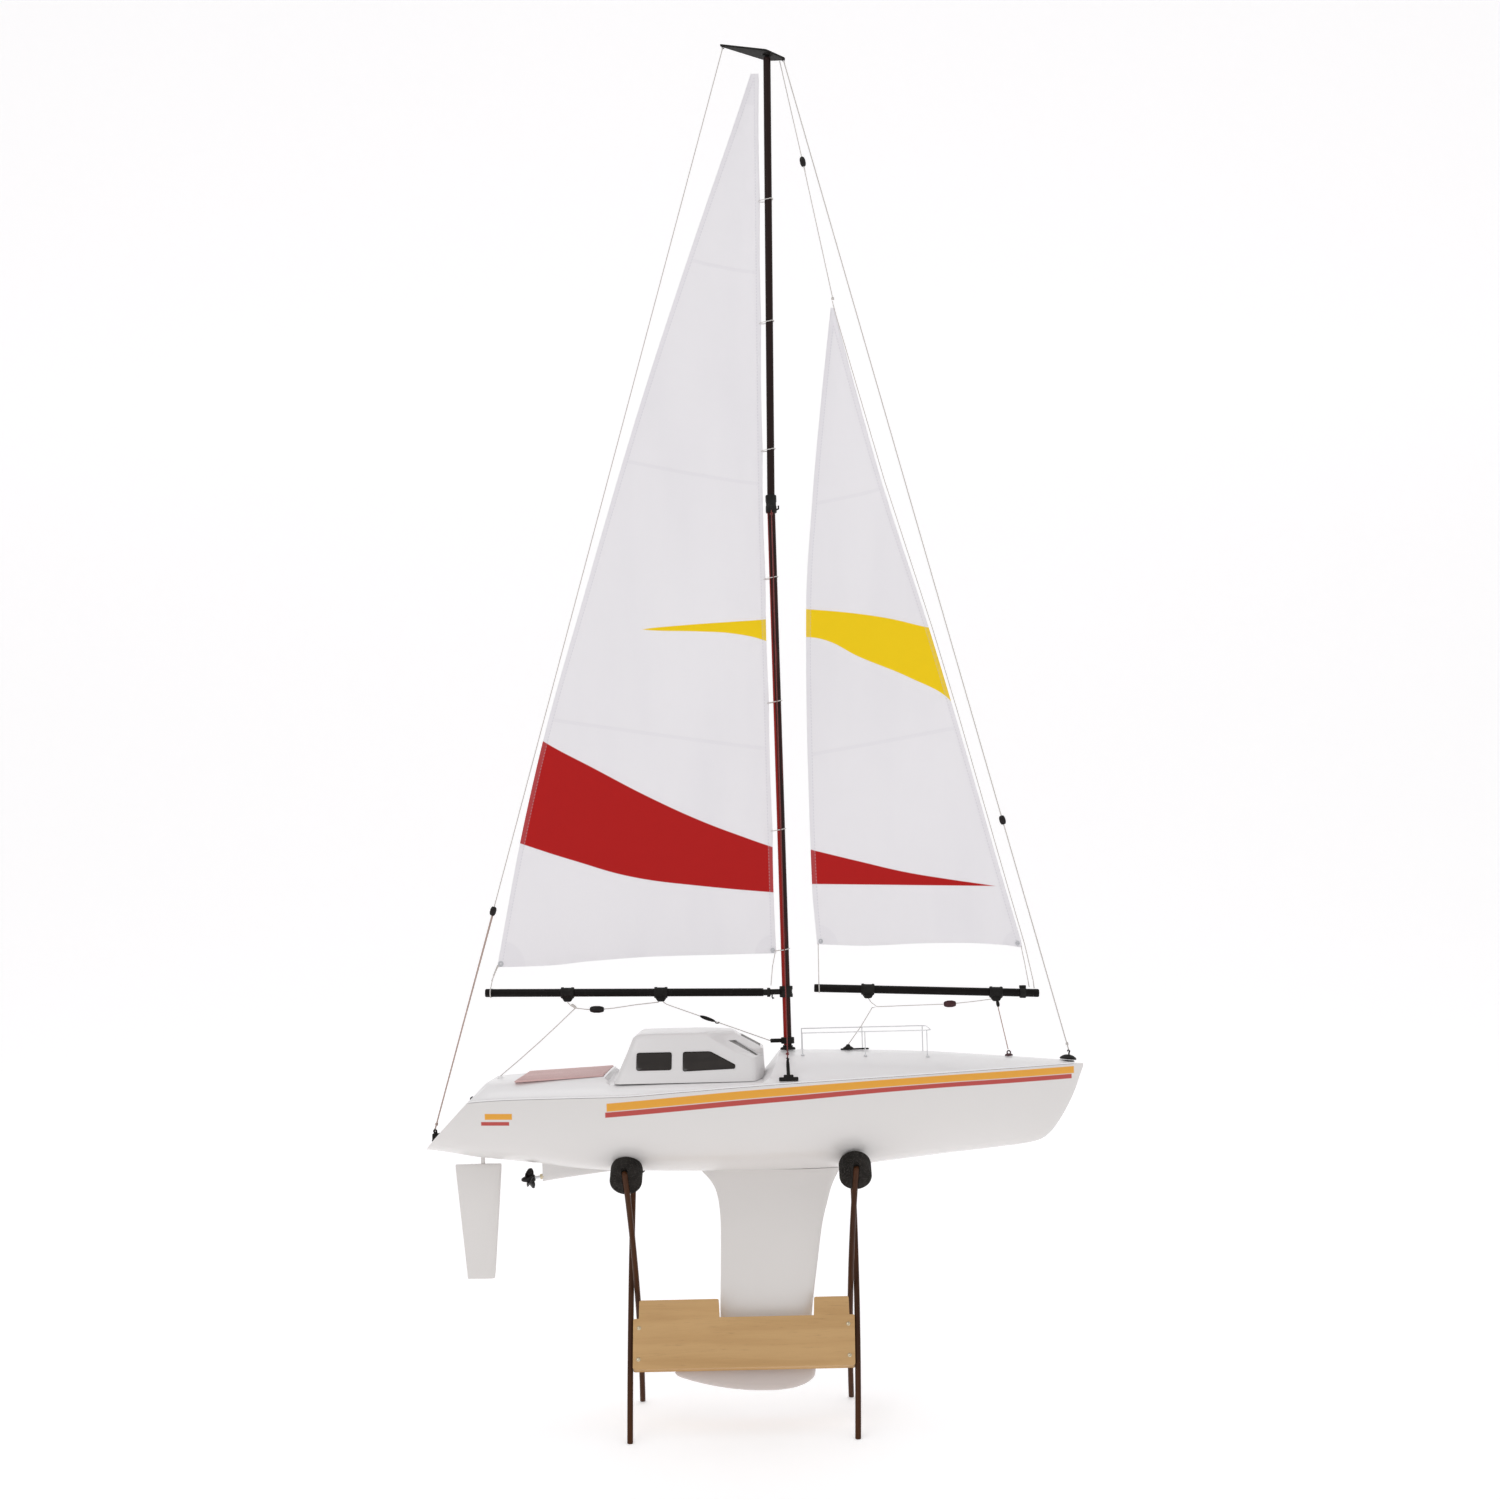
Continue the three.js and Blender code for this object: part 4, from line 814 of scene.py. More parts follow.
def deck_solid():
    xs = sorted(set([-280.0] + [round(-274 + 588 * i / 110, 3) for i in range(111)] + [-143.6, -142.8, -142, -141, -139.6, -138.8, -138, 9.4, 10.2, 11, 12.4, 13.6, 14.4, 15.2, 16]))
    xs = [x for x in xs if x <= 314]
    fs = [math.sin(math.pi / 2 * (-1 + 2 * k / 36)) for k in range(37)]
    rings = []
    for x0 in xs:
        s = (x0 - transom_x(sheer(-274))) / (314 - transom_x(sheer(-274)))
        s = max(0.0, s)

        def put(f, kind):
            x = x0 if s > 0 else -258.0
            for _ in range(10):
                B, zs = beam(x), sheer(x)
                if kind == "low":
                    z, y = zs + 0.35, math.copysign(B + 0.0, f)
                elif kind == "rim":
                    z, y = zs + 1.5, math.copysign(B + 0.25, f)
                elif kind == "rim2":
                    z, y = zs + 1.95, math.copysign(B - 0.4, f)
                elif kind == "top":
                    z, y = deck_z(x, f), f * (B - 2.5)
                else:
                    bi = max(B - 5.2, B * 0.35)
                    z, y = max(zs + 0.35, deck_z(x, f) - 1.8 - (0.4 if abs(f) > 0.999 else 0)), f * bi
                xt = transom_x(z)
                x = xt + s * (314 - xt)
            return V(x, y, z)

        ring = [put(-1, "low"), put(-1, "rim"), put(-1, "rim2")] + [put(f, "top") for f in fs] + [put(1, "rim2"), put(1, "rim"), put(1, "low")]
        ring += [put(f, "under") for f in reversed(fs)]
        rings.append(ring)
    return Build().rings(rings)


def block(x0, x1, y0, y1, z0, z1):
    return Build().rings([[V(x0, y0, z), V(x1, y0, z), V(x1, y1, z), V(x0, y1, z)] for z in (z0, z1)]).make("tmp", M_DECK, None, mesh_only=True)


deck = deck_solid().make("deck_moulding", M_DECK, None, mesh_only=True)
boolean(deck, block(-115, -7, -44, 44, 320, 350))
boolean(deck, Build().rings([[V(x, y, deck_top(x) + h) for x, y in ((-233, -60), (-146, -60), (-146, 60), (-233, 60))] for h in (-1.3, 12)]).make("tmp", M_DECK, None, mesh_only=True))
coam = Build()
coam_r = []
for z, g in ((331.7, 0), (337.2, 0), (337.8, 0.25), (338, 0.7)):
    coam_r.append((z, g))
resharpen(deck, 30)
dress(deck, M_DECK, "boat", ["deck"])


# after wall of the deck, in the transom's plane, from the hull's edge up to the underside of the deck
wall_top, wall_low = [], []
for k in range(37):
    f = math.sin(math.pi / 2 * (-1 + 2 * k / 36)) * 0.985
    x = -258.0
    for _ in range(12):
        zt = deck_z(x, f) - 0.5
        x = transom_x(zt)
    wall_top.append((f * (beam(x) - 3.0), zt))
    x = -276.0
    for _ in range(12):
        zb = sheer(x) + 0.4
        x = transom_x(zb)
    wall_low.append((f * (beam(x) - 3.0), zb))
wall = Build().rings([[V(transom_x(z) + off, y, z) for y, z in wall_top + wall_low[::-1]] for off in (0.08, 2.2)])
wall.make("deck_after_wall", M_DECK, "boat", slot="deck_white")


def frame_ring(x0, x1, y0, y1, r, z):
    pts = []
    for cx, cy, a0 in ((x1 - r, y1 - r, 0), (x0 + r, y1 - r, 90), (x0 + r, y0 + r, 180), (x1 - r, y0 + r, 270)):
        for k in range(7):
            a = math.radians(a0 + 15 * k)
            pts.append(V(cx + r * math.cos(a), cy + r * math.sin(a), z))
    return pts


coaming = Build()
outer = [frame_ring(-117 + g, -5 - g, -46 + g, 46 - g, 3, z) for z, g in coam_r]
inner = [frame_ring(-115 - g, -7 + g, -44 - g, 44 + g, 1.5, z) for z, g in reversed(coam_r)]
coaming.closed(outer + inner)
coaming.make("hatch_coaming", M_DECK, "boat", slot="deck_white")

panel = Build().rbox(-232.6, -146.4, -59.6, 59.6, 339.65, 341.2, r=2.2, seg=5)
panel.v = [V(v.x, v.y, v.z + deck_top(v.x) - 340.6) for v in panel.v]
panel.make("cockpit_panel_skin", M_PANEL, "boat", ["cockpit_panel"], "teak_panel")


# ------------------------------------------------------------------ cabin cover
CABIN = [(333.4, -135.5, 9.2, 74, 10), (345, -131, 8.6, 67.5, 8), (354.6, -126.8, 8.3, 61, 9.2), (361, -124, 8, 56.5, 28), (375, -118.5, -17, 48.5, 28), (378.8, -114, -22, 45, 26)]


def cabin_at(z):
    for a, b in zip(CABIN, CABIN[1:]):
        if z <= b[0]:
            t = (z - a[0]) / (b[0] - a[0])
            return tuple(p + (q - p) * t for p, q in zip(a, b))
    return CABIN[-1]


def wall_y(z):
    return cabin_at(z)[3]


def cabin_ring(z, inset, zz=None):
    _, xa, xf, w, back = cabin_at(z)
    a, f, y = xa + inset, xf - inset, w - inset
    corner = [(f - 0.8, -0.4 * y, 5), (f - 0.8, 0.4 * y, 5), (f - back, y, 6), (a, y, 6), (a, -y, 6), (f - back, -y, 6)]
    out = []
    m = len(corner)
    for i, (px, py, r) in enumerate(corner):
        p = V(px, py, 0)
        a0, b0 = V(*corner[i - 1][:2], 0), V(*corner[(i + 1) % m][:2], 0)
        u, v = (a0 - p).normalized(), (b0 - p).normalized()
        half = u.angle(v) / 2
        d = min(r / math.tan(half), (a0 - p).length * 0.45, (b0 - p).length * 0.45)
        rr = d * math.tan(half)
        c = p + (u + v).normalized() * (rr / math.sin(half))
        s, e = p + u * d - c, p + v * d - c
        for k in range(9):
            q = s.lerp(e, k / 8)
            q = q.normalized() * rr
            out.append(V(c.x + q.x, c.y + q.y, z if zz is None else zz))
    return out


def cabin_solid(inset, drop=0.0, low=333.4):
    rings = []
    for z in (333.4, 336, 340, 345, 350, 353.1, 354.6, 356.3, 358.7, 361, 363.2, 365.9, 368.7, 371.9, 374.3, 375, 376.2):
        rings.append(cabin_ring(z, inset + (0.0 if z > 335 else -0.0), (low if z == 333.4 else z - drop * max(0, (z - 350) / 28.8))))
    for z, g, zz in ((377.0, 0.3, 377.2), (377.9, 1.2, 378.1), (378.5, 2.6, 378.6), (378.8, 6, 378.9), (378.8, 16, 379.2), (378.8, 30, 379.4)):
        rings.append(cabin_ring(z, inset + g, zz - drop))
    return Build().rings(rings)


def soft_outline(pts, r, seg=4):
    out = []
    m = len(pts)
    for i in range(m):
        p, a, b = V(*pts[i], 0), V(*pts[i - 1], 0), V(*pts[(i + 1) % m], 0)
        u, v = (a - p).normalized(), (b - p).normalized()
        d = min(r, (a - p).length * 0.45, (b - p).length * 0.45)
        for k in range(seg + 1):
            t = k / seg
            q = (p + u * d) * (1 - t) ** 2 + p * (2 * t * (1 - t)) + (p + v * d) * t ** 2
            out.append((q.x, q.y))
    return out


WIN_AFT = soft_outline([(-114.8, 344.6), (-79.6, 344.6), (-79.6, 362), (-114.8, 362)], 3.2)
WIN_FWD = soft_outline([(-70.2, 343), (-18.8, 344.6), (-18.2, 349), (-43, 362), (-70.2, 362)], 3.0)


def y_prism(pts, y0, y1):
    return Build().rings([[V(x, y, z) for x, z in pts] for y in (y0, y1)]).make("tmp", M_CABIN, None, mesh_only=True)


def front_at(z, t, sd, y0=None, off=0.0):
    """Point on the sloping front: t 0 to 1 runs from the corner of the middle face to the side wall; off is inwards."""
    _, xa, f, y, back = cabin_at(z)
    if y0 is not None:
        return V(f - 0.8 - off * 0.48, y0, z - off * 0.877)
    p = V(f - 0.8 - (back - 0.8) * t, sd * (y * 0.4 + (y * 0.6 - 2) * t), z)
    n = V(0.44, sd * 0.36, 0.82).normalized()
    return p - n * off


def slab(q, depth):
    """Prism through four corners, square to their face."""
    n = (q[1] - q[0]).cross(q[3] - q[0]).normalized()
    return Build().rings([[p + n * d for p in q] for d in (-depth, depth)])


def side_pane(sd, g=0.0):
    return [front_at(355.4 - g, 0.36 - g * 0.02, sd), front_at(355.4 - g, 0.64 + g * 0.02, sd), front_at(370.4 + g, 0.64 + g * 0.02, sd), front_at(370.4 + g, 0.36 - g * 0.02, sd)]


def middle_pane(g=0.0):
    return [front_at(362.4 - g, 0, 1, -16 - g), front_at(362.4 - g, 0, 1, 16 + g), front_at(373.2 + g, 0, 1, 15 + g), front_at(373.2 + g, 0, 1, -15 - g)]


cover = cabin_solid(0).make("cabin_moulding", M_CABIN, None, mesh_only=True)
boolean(cover, cabin_solid(2.0, 2.0, 325).make("tmp", M_CABIN, None, mesh_only=True))
for pts in (WIN_AFT, WIN_FWD):
    boolean(cover, y_prism(pts, 30, 90))
    boolean(cover, y_prism(pts, -90, -30))
for q in (side_pane(1), side_pane(-1), middle_pane()):
    boolean(cover, slab(q, 5).make("tmp", M_CABIN, None, mesh_only=True))
resharpen(cover, 28)
dress(cover, M_CABIN, "cabin", ["cabin_cover"])


def pane(pts, s, grow, depth):
    """Window pane set into the sloping side wall."""
    n = len(pts)
    cx, cz = sum(p[0] for p in pts) / n, sum(p[1] for p in pts) / n
    rings = []
    for g, d in ((grow, depth + 0.9), (grow, depth + 0.2), (grow - 0.5, depth), (grow - 6, depth - 0.12), (-99, depth - 0.16)):
        ring = []
        for x, z in pts:
            k = math.hypot(x - cx, z - cz)
            q = max(0.02, (k + g) / k) if g > -90 else 0.02
            xx, zz = cx + (x - cx) * q, cz + (z - cz) * q
            ring.append(V(xx, s * (wall_y(zz) - d), zz))
        rings.append(ring)
    return Build().rings(rings)


def trim(pts, s, r, out):
    return Build().tube([(x, s * (wall_y(z) + out), z) for x, z in pts], r, 8, loop=True)


for i, (pts, nm) in enumerate(((WIN_AFT, "aft"), (WIN_FWD, "fwd"))):
    for s, side in ((-1, "stbd"), (1, "port")):
        o = pane(pts, s, 0.5, 1.0).make(f"window_{nm}_{side}", M_WINDOW, "cabin", ["window_liner"] if (i, s) == (0, -1) else (), "window_tint", sharp=50)
        trim(pts, s, 0.55, -0.15).make(f"window_trim_{nm}_{side}", M_CABIN, "cabin", slot="deck_white")


def pane_slab(q, mat, name):
    n = (q[1] - q[0]).cross(q[3] - q[0]).normalized()
    if n.z < 0:
        n = -n
    c = sum(q, V(0, 0, 0)) / 4
    rings = []
    for d, k in ((-1.9, 1.05), (-1.0, 1.05), (-0.85, 1.0), (-0.8, 0.6)):
        rings.append([c + (p - c) * k + n * d for p in q])
    return Build().rings(rings).make(name, mat, "cabin", slot="window_tint", sharp=50)


def pane_trim(q, name):
    n = (q[1] - q[0]).cross(q[3] - q[0]).normalized()
    if n.z < 0:
        n = -n
    pts = []
    for i in range(4):
        a, b = q[i], q[(i + 1) % 4]
        pts += [a.lerp(b, 0.04), a.lerp(b, 0.5), a.lerp(b, 0.96)]
    Build().tube([p + n * -0.1 for p in pts], 0.5, 8, loop=True).make(name, M_CABIN, "cabin", slot="deck_white")


for q, nm in ((side_pane(-1), "stbd"), (side_pane(1), "port"), (middle_pane(), "middle")):
    pane_slab(q, M_SCREEN, f"windscreen_{nm}")
    pane_trim(q, f"windscreen_trim_{nm}")


# ------------------------------------------------------------------ keel fin, bulb, rudder
def foil(xl, xt, t, z, n=26):
    up, lo = [], []
    for i in range(n + 1):
        s = 0.5 * (1 - math.cos(math.pi * i / n))
        y = t * (2.969 * math.sqrt(s) - 1.26 * s - 3.516 * s * s + 2.843 * s ** 3 - 1.036 * s ** 4)
        x = xl + (xt - xl) * s
        if i == 0:
            up.append(V(x, 0, z))
        elif i == n:
            up += [V(x, -0.35, z), V(x, 0.35, z)]
        else:
            up.append(V(x, -max(y, 0.35), z))
            lo.insert(0, V(x, max(y, 0.35), z))
    return up + lo


FIN = [(56, 45.6, -41.0, 4.4), (98, 48.6, -41, 4.7), (150, 55.6, -39.6, 5.1), (190, 62, -38.8, 5.4), (208, 66.8, -40, 5.7), (222, 71, -43, 6.1), (232, 75.5, -48.5, 6.8), (238, 79, -54, 7.8), (241.6, 81.2, -57.2, 8.4)]
fin_l, fin_t, fin_w = (mono([(r[0], r[k]) for r in FIN]) for k in (1, 2, 3))
fin = Build().rings([foil(fin_l(z), fin_t(z), fin_w(z), z) for z in [56 + (241.2 - 56) * i / 60 for i in range(61)]])
fin.make("keel_fin_skin", M_FIN, "boat", ["keel_fin"], "hull_white", sharp=60)
BULB = [(0, 0), (4.5, 0.9), (9, 4.5), (13.5, 12.7), (16.8, 25.4), (18.2, 42), (18, 58), (16.6, 76.3), (14, 94.4), (10.6, 110.8), (6.6, 125.3), (3, 135.3), (0, 138)]
bulb_r = mono([(h, r) for r, h in BULB])
bulb_p = [(0, 0)] + [(max(0.3, bulb_r(h)), h) for h in [138 * (0.5 - 0.5 * math.cos(math.pi * i / 48)) for i in range(1, 48)]] + [(0, 138)]
bulb = Build().lathe(bulb_p, (51, 0, 45.8), (-1, 0, 0), 56)
bulb.make("ballast_bulb_skin", M_LEAD, "boat", ["ballast_bulb"], "painted_lead", sharp=70)

RUD = [(140.6, -263.2, -288.6, 1.3), (141.4, -262.4, -289.2, 1.9), (147, -261.6, -289.6, 2.3), (200, -257.6, -295, 3.0), (246, -254.4, -299.6, 3.6), (251.2, -254.2, -300, 3.5), (252.2, -254.9, -299.6, 2.9)]
rl, rt, rw = (lin([(r[0], r[k]) for r in RUD]) for k in (1, 2, 3))
rz = [140.6, 141.0, 141.4, 143, 147] + [150 + 96 * i / 24 for i in range(25)] + [249, 251.2, 251.8, 252.2]
rud = Build().rings([foil(rl(z), rt(z), rw(z), z) for z in rz])
rud.tube([(-272.6, 0, 250), (-272.6, 0, 305.3)], 2.0, 24)
rud.make("rudder_skin", M_FIN, "rudder", ["rudder_blade"], "hull_white", sharp=45)


# ------------------------------------------------------------------ propeller
def prop():
    b = Build()
    b.lathe([(0, -8.6), (1.3, -8.2), (2.5, -6.2), (3.2, -3.0), (3.4, 0), (3.4, 4.6), (2.8, 5.4), (0, 5.4)], shaft_at(-226.5), AXIS, 36)
    base = shaft_at(-226)
    rot_tilt = Matrix.Rotation(-TILT, 3, "Y")
    for k in range(4):
        rings = []
        for i in range(11):
            t = i / 10
            r = 1.4 + 8.9 * t
            w = 2.0 + 3.6 * math.sin(math.pi * min(1, t * 0.62 + 0.12)) ** 0.9
            w *= math.sqrt(max(0.05, 1 - max(0, (t - 0.72) / 0.3) ** 2))
            th = 0.62 * (1 - 0.55 * t)
            a = math.radians(24 + 40 * t)
            ring = []
            for q in range(16):
                u = 2 * math.pi * q / 16
                x, y = w * math.cos(u), th * math.sin(u)
                ring.append(V(x * math.cos(a) - y * math.sin(a), x * math.sin(a) + y * math.cos(a) , r))
            rings.append([rot_tilt @ (Matrix.Rotation(2 * math.pi * k / 4 + 0.35, 3, "X") @ p) + base for p in ring])
        b.rings(rings)
    return b


prop().make("propeller_blades", M_BLACK_GLOSS, "drive", ["propeller"], "black_plastic", sharp=50)


# ------------------------------------------------------------------ stand
SLOPE, CROSS = 0.634, 126.2
# each dowel bows slightly where it is sprung past its partner: x at the foot, at the crossing, at the pad
LEG_A = ((-125.8, -128.3, -128.6), (88.2, 93.3, 94.4))
LEG_B = ((-125.0, -122.4, -125.8), (87.4, 87.4, 93.0))
DR = 2.8


def leg_x(x, z):
    a, b = CROSS, 241.0
    return x[0] * (z - a) * (z - b) / (a * b) + x[1] * z * (z - b) / (a * (a - b)) + x[2] * z * (z - a) / (b * (b - a))


def leg(x, s):
    at = lambda z: V(leg_x(x, z), s * SLOPE * (CROSS - z), z)
    d = (at(1) - at(0)).normalized()
    u = (V(1, 0, 0) - d * d.x).normalized()
    w = d.cross(u)
    rings = []

    def ring(z, r, flat=False):
        c = at(z)
        out = []
        for k in range(32):
            a = 2 * math.pi * k / 32
            p = c + u * (r * math.cos(a)) + w * (r * math.sin(a))
            if flat:
                p = p - d * ((p.z - z) / d.z)
            out.append(p)
        return out

    rings.append(ring(0, DR - 0.3, True))
    rings.append(ring(0.5, DR, True))
    for i in range(1, 24):
        rings.append(ring(250 * i / 24, DR))
    for z, r in ((249.2, DR), (250.3, DR - 0.25), (250.9, DR - 0.9)):
        rings.append(ring(z, r))
    return Build().rings(rings)


for (x, s, nm) in ((LEG_A[0], -1, "leg_a_aft"), (LEG_A[1], -1, "leg_a_fwd"), (LEG_B[0], 1, "leg_b_aft"), (LEG_B[1], 1, "leg_b_fwd")):
    leg(x, s).make(nm + "_dowel", M_DOWEL, "stand", [nm], "dowel_wood", sharp=50)

hull_block = None


def hull_solid():
    rows = hull_grid(70, 40, 0.4, 0, 323)
    return Build().rings([r for r in rows]).make("tmp", M_FOAM, None, mesh_only=True)


hull_block = hull_solid()


def pad(x, s):
    z = 241
    c = V(leg_x(x, z), s * SLOPE * (CROSS - z), z)
    n = V(0, s, SLOPE).normalized()
    base = c + n * (DR + 0.35 - 4.2)
    prof = [(0, 0), (12.4, 0), (14.3, 0.5), (15.2, 1.5), (15.5, 2.8), (15.5, 19.4), (15.0, 21.2), (13.4, 22.6), (10, 23), (0, 23)]
    o = Build().lathe(prof, base, n, 56).make("tmp_pad", M_FOAM, None, mesh_only=True)
    at = lambda q: V(leg_x(x, q), s * SLOPE * (CROSS - q), q)
    boolean(o, Build().tube([at(q) for q in (190, 215, 240, 265, 300)], DR + 0.3, 28).make("tmp", M_FOAM, None, mesh_only=True))
    boolean(o, hull_block, drop=False)
    return o


for (x, s, nm) in ((LEG_A[0], -1, "pad_aft_port"), (LEG_A[1], -1, "pad_fwd_port"), (LEG_B[0], 1, "pad_aft_stbd"), (LEG_B[1], 1, "pad_fwd_stbd")):
    o = pad(x, s)
    o.name = nm + "_foam"
    resharpen(o, 40)
    dress(o, M_FOAM, "stand", [nm])
bpy.data.objects.remove(hull_block)


def board():
    u, n = V(0, SLOPE, 1).normalized(), V(0, 1, -SLOPE).normalized()
    top = V(0, -SLOPE * (CROSS - 115.3), 115.3)
    W, T = 67, 8
    edge = lambda leg, side, z: leg_x(leg, z) + side * (DR + 0.45)
    x0, x0b, x1, x1b = edge(LEG_A[0], 1, 115), edge(LEG_A[0], 1, 58.7), edge(LEG_A[1], -1, 115), edge(LEG_A[1], -1, 58.7)
    a0, a1, d = -42.8, 51.8, 18.5
    c0, c1 = LEG_B[0][1] + DR + 0.4, LEG_B[1][1] - DR - 0.4
    outline = soft_outline([(x0 + (x0b - x0) * d / W, -d), (c0, -d), (c0, 0), (a0, 0), (a0 + 0.8, -d), (a1 - 0.8, -d), (a1, 0), (c1, 0), (c1, -d), (x1 + (x1b - x1) * d / W, -d), (x1b, -W), (x0b, -W)], 1.0, 3)
    rings = []
    m = len(outline)
    for h, g in ((-T / 2, 0.7), (-T / 2 + 0.25, 0.25), (-T / 2 + 0.8, 0), (T / 2 - 0.8, 0), (T / 2 - 0.25, 0.25), (T / 2, 0.7)):
        ring = []
        for i, (x, w) in enumerate(outline):
            a, b = outline[i - 1], outline[(i + 1) % m]
            tx, tw = b[0] - a[0], b[1] - a[1]
            k = math.hypot(tx, tw) or 1
            ring.append(V(x + tw / k * -g, 0, 0) + top + u * (w + tx / k * g * 1.0) + n * h)
        rings.append(ring)
    return Build().rings(rings)


board().make("stand_board_pine", M_BOARD, "stand", ["stand_board"], "board_wood", sharp=40)
# screws that hold the board's ends to the legs
bs = Build()
for x in (LEG_A[0][1] + DR + 6, LEG_A[1][1] - DR - 7):
    for w in (-27, -58):
        u, n = V(0, SLOPE, 1).normalized(), V(0, -1, SLOPE).normalized()
        c = V(x, -SLOPE * (CROSS - 115.3), 115.3) + u * w + n * 3.95
        bs.lathe([(0, 0.9), (0.9, 0.85), (1.7, 0.5), (2.1, 0.1), (2.1, -1.2), (0, -1.2)], c, n, 20)
bs.make("board_screws", M_BRASS, "stand", slot="brass")


# ------------------------------------------------------------------ spars
MAST_FOOT, MAST_JOINT, MAST_HEAD = (31.8, 361.9), (28.8, 904), (36.3, 1370.4)


def lower_x(z):
    return MAST_FOOT[0] + (MAST_JOINT[0] - MAST_FOOT[0]) * (z - MAST_FOOT[1]) / (MAST_JOINT[1] - MAST_FOOT[1])


def upper_x(z):
    return MAST_JOINT[0] + (MAST_HEAD[0] - MAST_JOINT[0]) * (z - MAST_JOINT[1]) / (MAST_HEAD[1] - MAST_JOINT[1])


def hollow(p, q, ro, ri, seg=32, lip=0.3):
    p, q = V(*p), V(*q)
    L = (q - p).length
    prof = [(ri, 0), (ro - lip, 0), (ro, lip), (ro, L - lip), (ro - lip, L), (ri, L), (ri, 0)]
    return Build().lathe(prof, p, q - p, seg)


hollow((lower_x(361.9), 0, 361.9), (lower_x(904.2), 0, 904.2), 4.0, 3.2).make("mast_lower_tube", M_MAST_LOW, "boat", ["mast_lower"], "dark_tube")
hollow((upper_x(905), 0, 905), (upper_x(1370.4), 0, 1370.4), 3.8, 3.0).make("mast_upper_tube", M_MAST_UP, "boat", ["mast_upper"], "dark_tube")
fer = Build()
fer.lathe([(4.35, 0), (5.3, 0), (5.6, 0.5), (5.6, 6.5), (5.2, 7.6), (5.2, 10.4), (5.6, 11.5), (5.6, 17.4), (5.2, 18), (4.35, 18), (4.35, 0)], (28.85, 0, 896), (0, 0, 1), 32)
for s in (1, -1):
    fer.tube([(29, s * 5.0, 902), (29, s * 7.4, 902.4), (29, s * 8.6, 900.6), (29, s * 7.6, 898.4), (29, s * 5.2, 898.6)], 0.85, 10)
fer.tube([(33.6, 0, 899), (36.2, 0, 900), (36.2, 0, 903)], 0.9, 10)
fer.make("mast_joint_fitting", M_BLACK, "boat", ["mast_ferrule"], "black_plastic")
step = Build()
step.lathe([(0, 0), (7.5, 0), (7.5, 1.4), (7.0, 2.1), (5.2, 2.6), (4.9, 3.2), (4.9, 4.2), (3.0, 4.3), (2.8, 8.4), (0, 8.4)], (31.8, 0, 357.4), (0, 0, 1), 40)
step.make("mast_step_cup", M_BLACK, "boat", ["mast_step"], "black_plastic")


def crane_z(x):
    return 1385.4 - ((x + 11.7) * 16.7) / 66.6


cr = Build()
out = soft_outline([(-11.7, 0.9), (-11.7, -0.9), (36, -12.6), (54.9, -1.6), (54.9, 1.6), (36, 12.6)], 1.2, 3)
cr.plate(out, lambda x, y, h: V(x, y, crane_z(x) + h), 2.0, 0.35)
cr.lathe([(0, 0), (2.6, 0), (2.6, 13.8), (4.6, 14.2), (4.6, 15.0), (0, 15.0)], (36.08, 0, 1358), (0.0163, 0, 1), 24)
cr.tube([(-9.5, 0, crane_z(-9.5) - 0.6), (-9.6, 0, crane_z(-9.5) - 2.6), (-8.2, 0, crane_z(-9.5) - 3.4), (-7.4, 0, crane_z(-8) - 1.0)], 0.5, 8)
cr.tube([(52.4, 0, crane_z(52.4) - 0.6), (52.3, 0, crane_z(52.4) - 2.8), (54.0, 0, crane_z(52.4) - 3.0), (54.0, 0, crane_z(54) - 0.6)], 0.5, 8)
cr.make("masthead_crane_plate", M_BLACK, "boat", ["masthead_crane"], "black_plastic")

BOOM_DIR = V(-278, 0, 5.7).normalized()


def boom_at(x):
    return V(x, 0, 414.4 + (x - 9) * BOOM_DIR.z / BOOM_DIR.x)


mb = Build()
L = (boom_at(-268) - boom_at(9)).length
mb.lathe([(3.2, 0), (3.75, 0), (4.0, 0.3), (4.0, L - 8.2), (3.9, L - 8.0), (4.15, L - 7.8), (4.15, L - 0.9), (3.6, L - 0.1), (0, L), (0, L - 1.5), (3.2, L - 2.5), (3.2, 0)], boom_at(9), BOOM_DIR, 32)
mb.make("main_boom_tube", M_BOOM, "main_rig", ["main_boom"], "dark_tube")

JA, JF = V(59.3, 0, 417.3), V(282.1, 0, 407.1)
JD = (JF - JA).normalized()


def jb_at(x):
    return JA.lerp(JF, (x - JA.x) / (JF.x - JA.x))


jb = Build()
L = (JF - JA).length
jb.lathe([(0, 0), (3.4, 0.1), (4.05, 0.9), (4.05, 5.0), (3.9, 5.2), (4.0, 5.4), (4.0, L - 5.4), (3.9, L - 5.2), (4.05, L - 5.0), (4.05, L - 0.9), (3.4, L - 0.1), (0, L)], JA, JD, 32)
jb.make("jib_boom_tube", M_BOOM, "jib_rig", ["jib_boom"], "dark_tube")

gz = 414.4
goose = Build()
goose.lathe([(4.4, 0), (6.2, 0), (6.6, 0.5), (6.6, 3.2), (6.0, 3.9), (6.0, 7.0), (6.6, 7.7), (6.6, 10.5), (6.2, 11), (4.4, 11), (4.4, 0)], (lower_x(409), 0, 409), (-0.0055, 0, 1), 36)
goose.rbox(14.8, 26.2, -2.3, 2.3, 411.8, 417.2, r=1.0)
goose.lathe([(0, 0), (2.1, 0.2), (3.1, 1.4), (3.1, 13.6), (4.6, 13.6), (4.6, 16.4), (2.6, 17.4), (0, 17.6)], (-1, 0, gz), (1, 0, -0.02), 24)
goose.lathe([(0, -3.6), (1.5, -3.6), (1.5, -3.0), (0.9, -2.9), (0.9, 2.9), (1.5, 3.0), (1.5, 3.6), (0, 3.6)], (17.4, 0, gz), (0, 1, 0), 16)
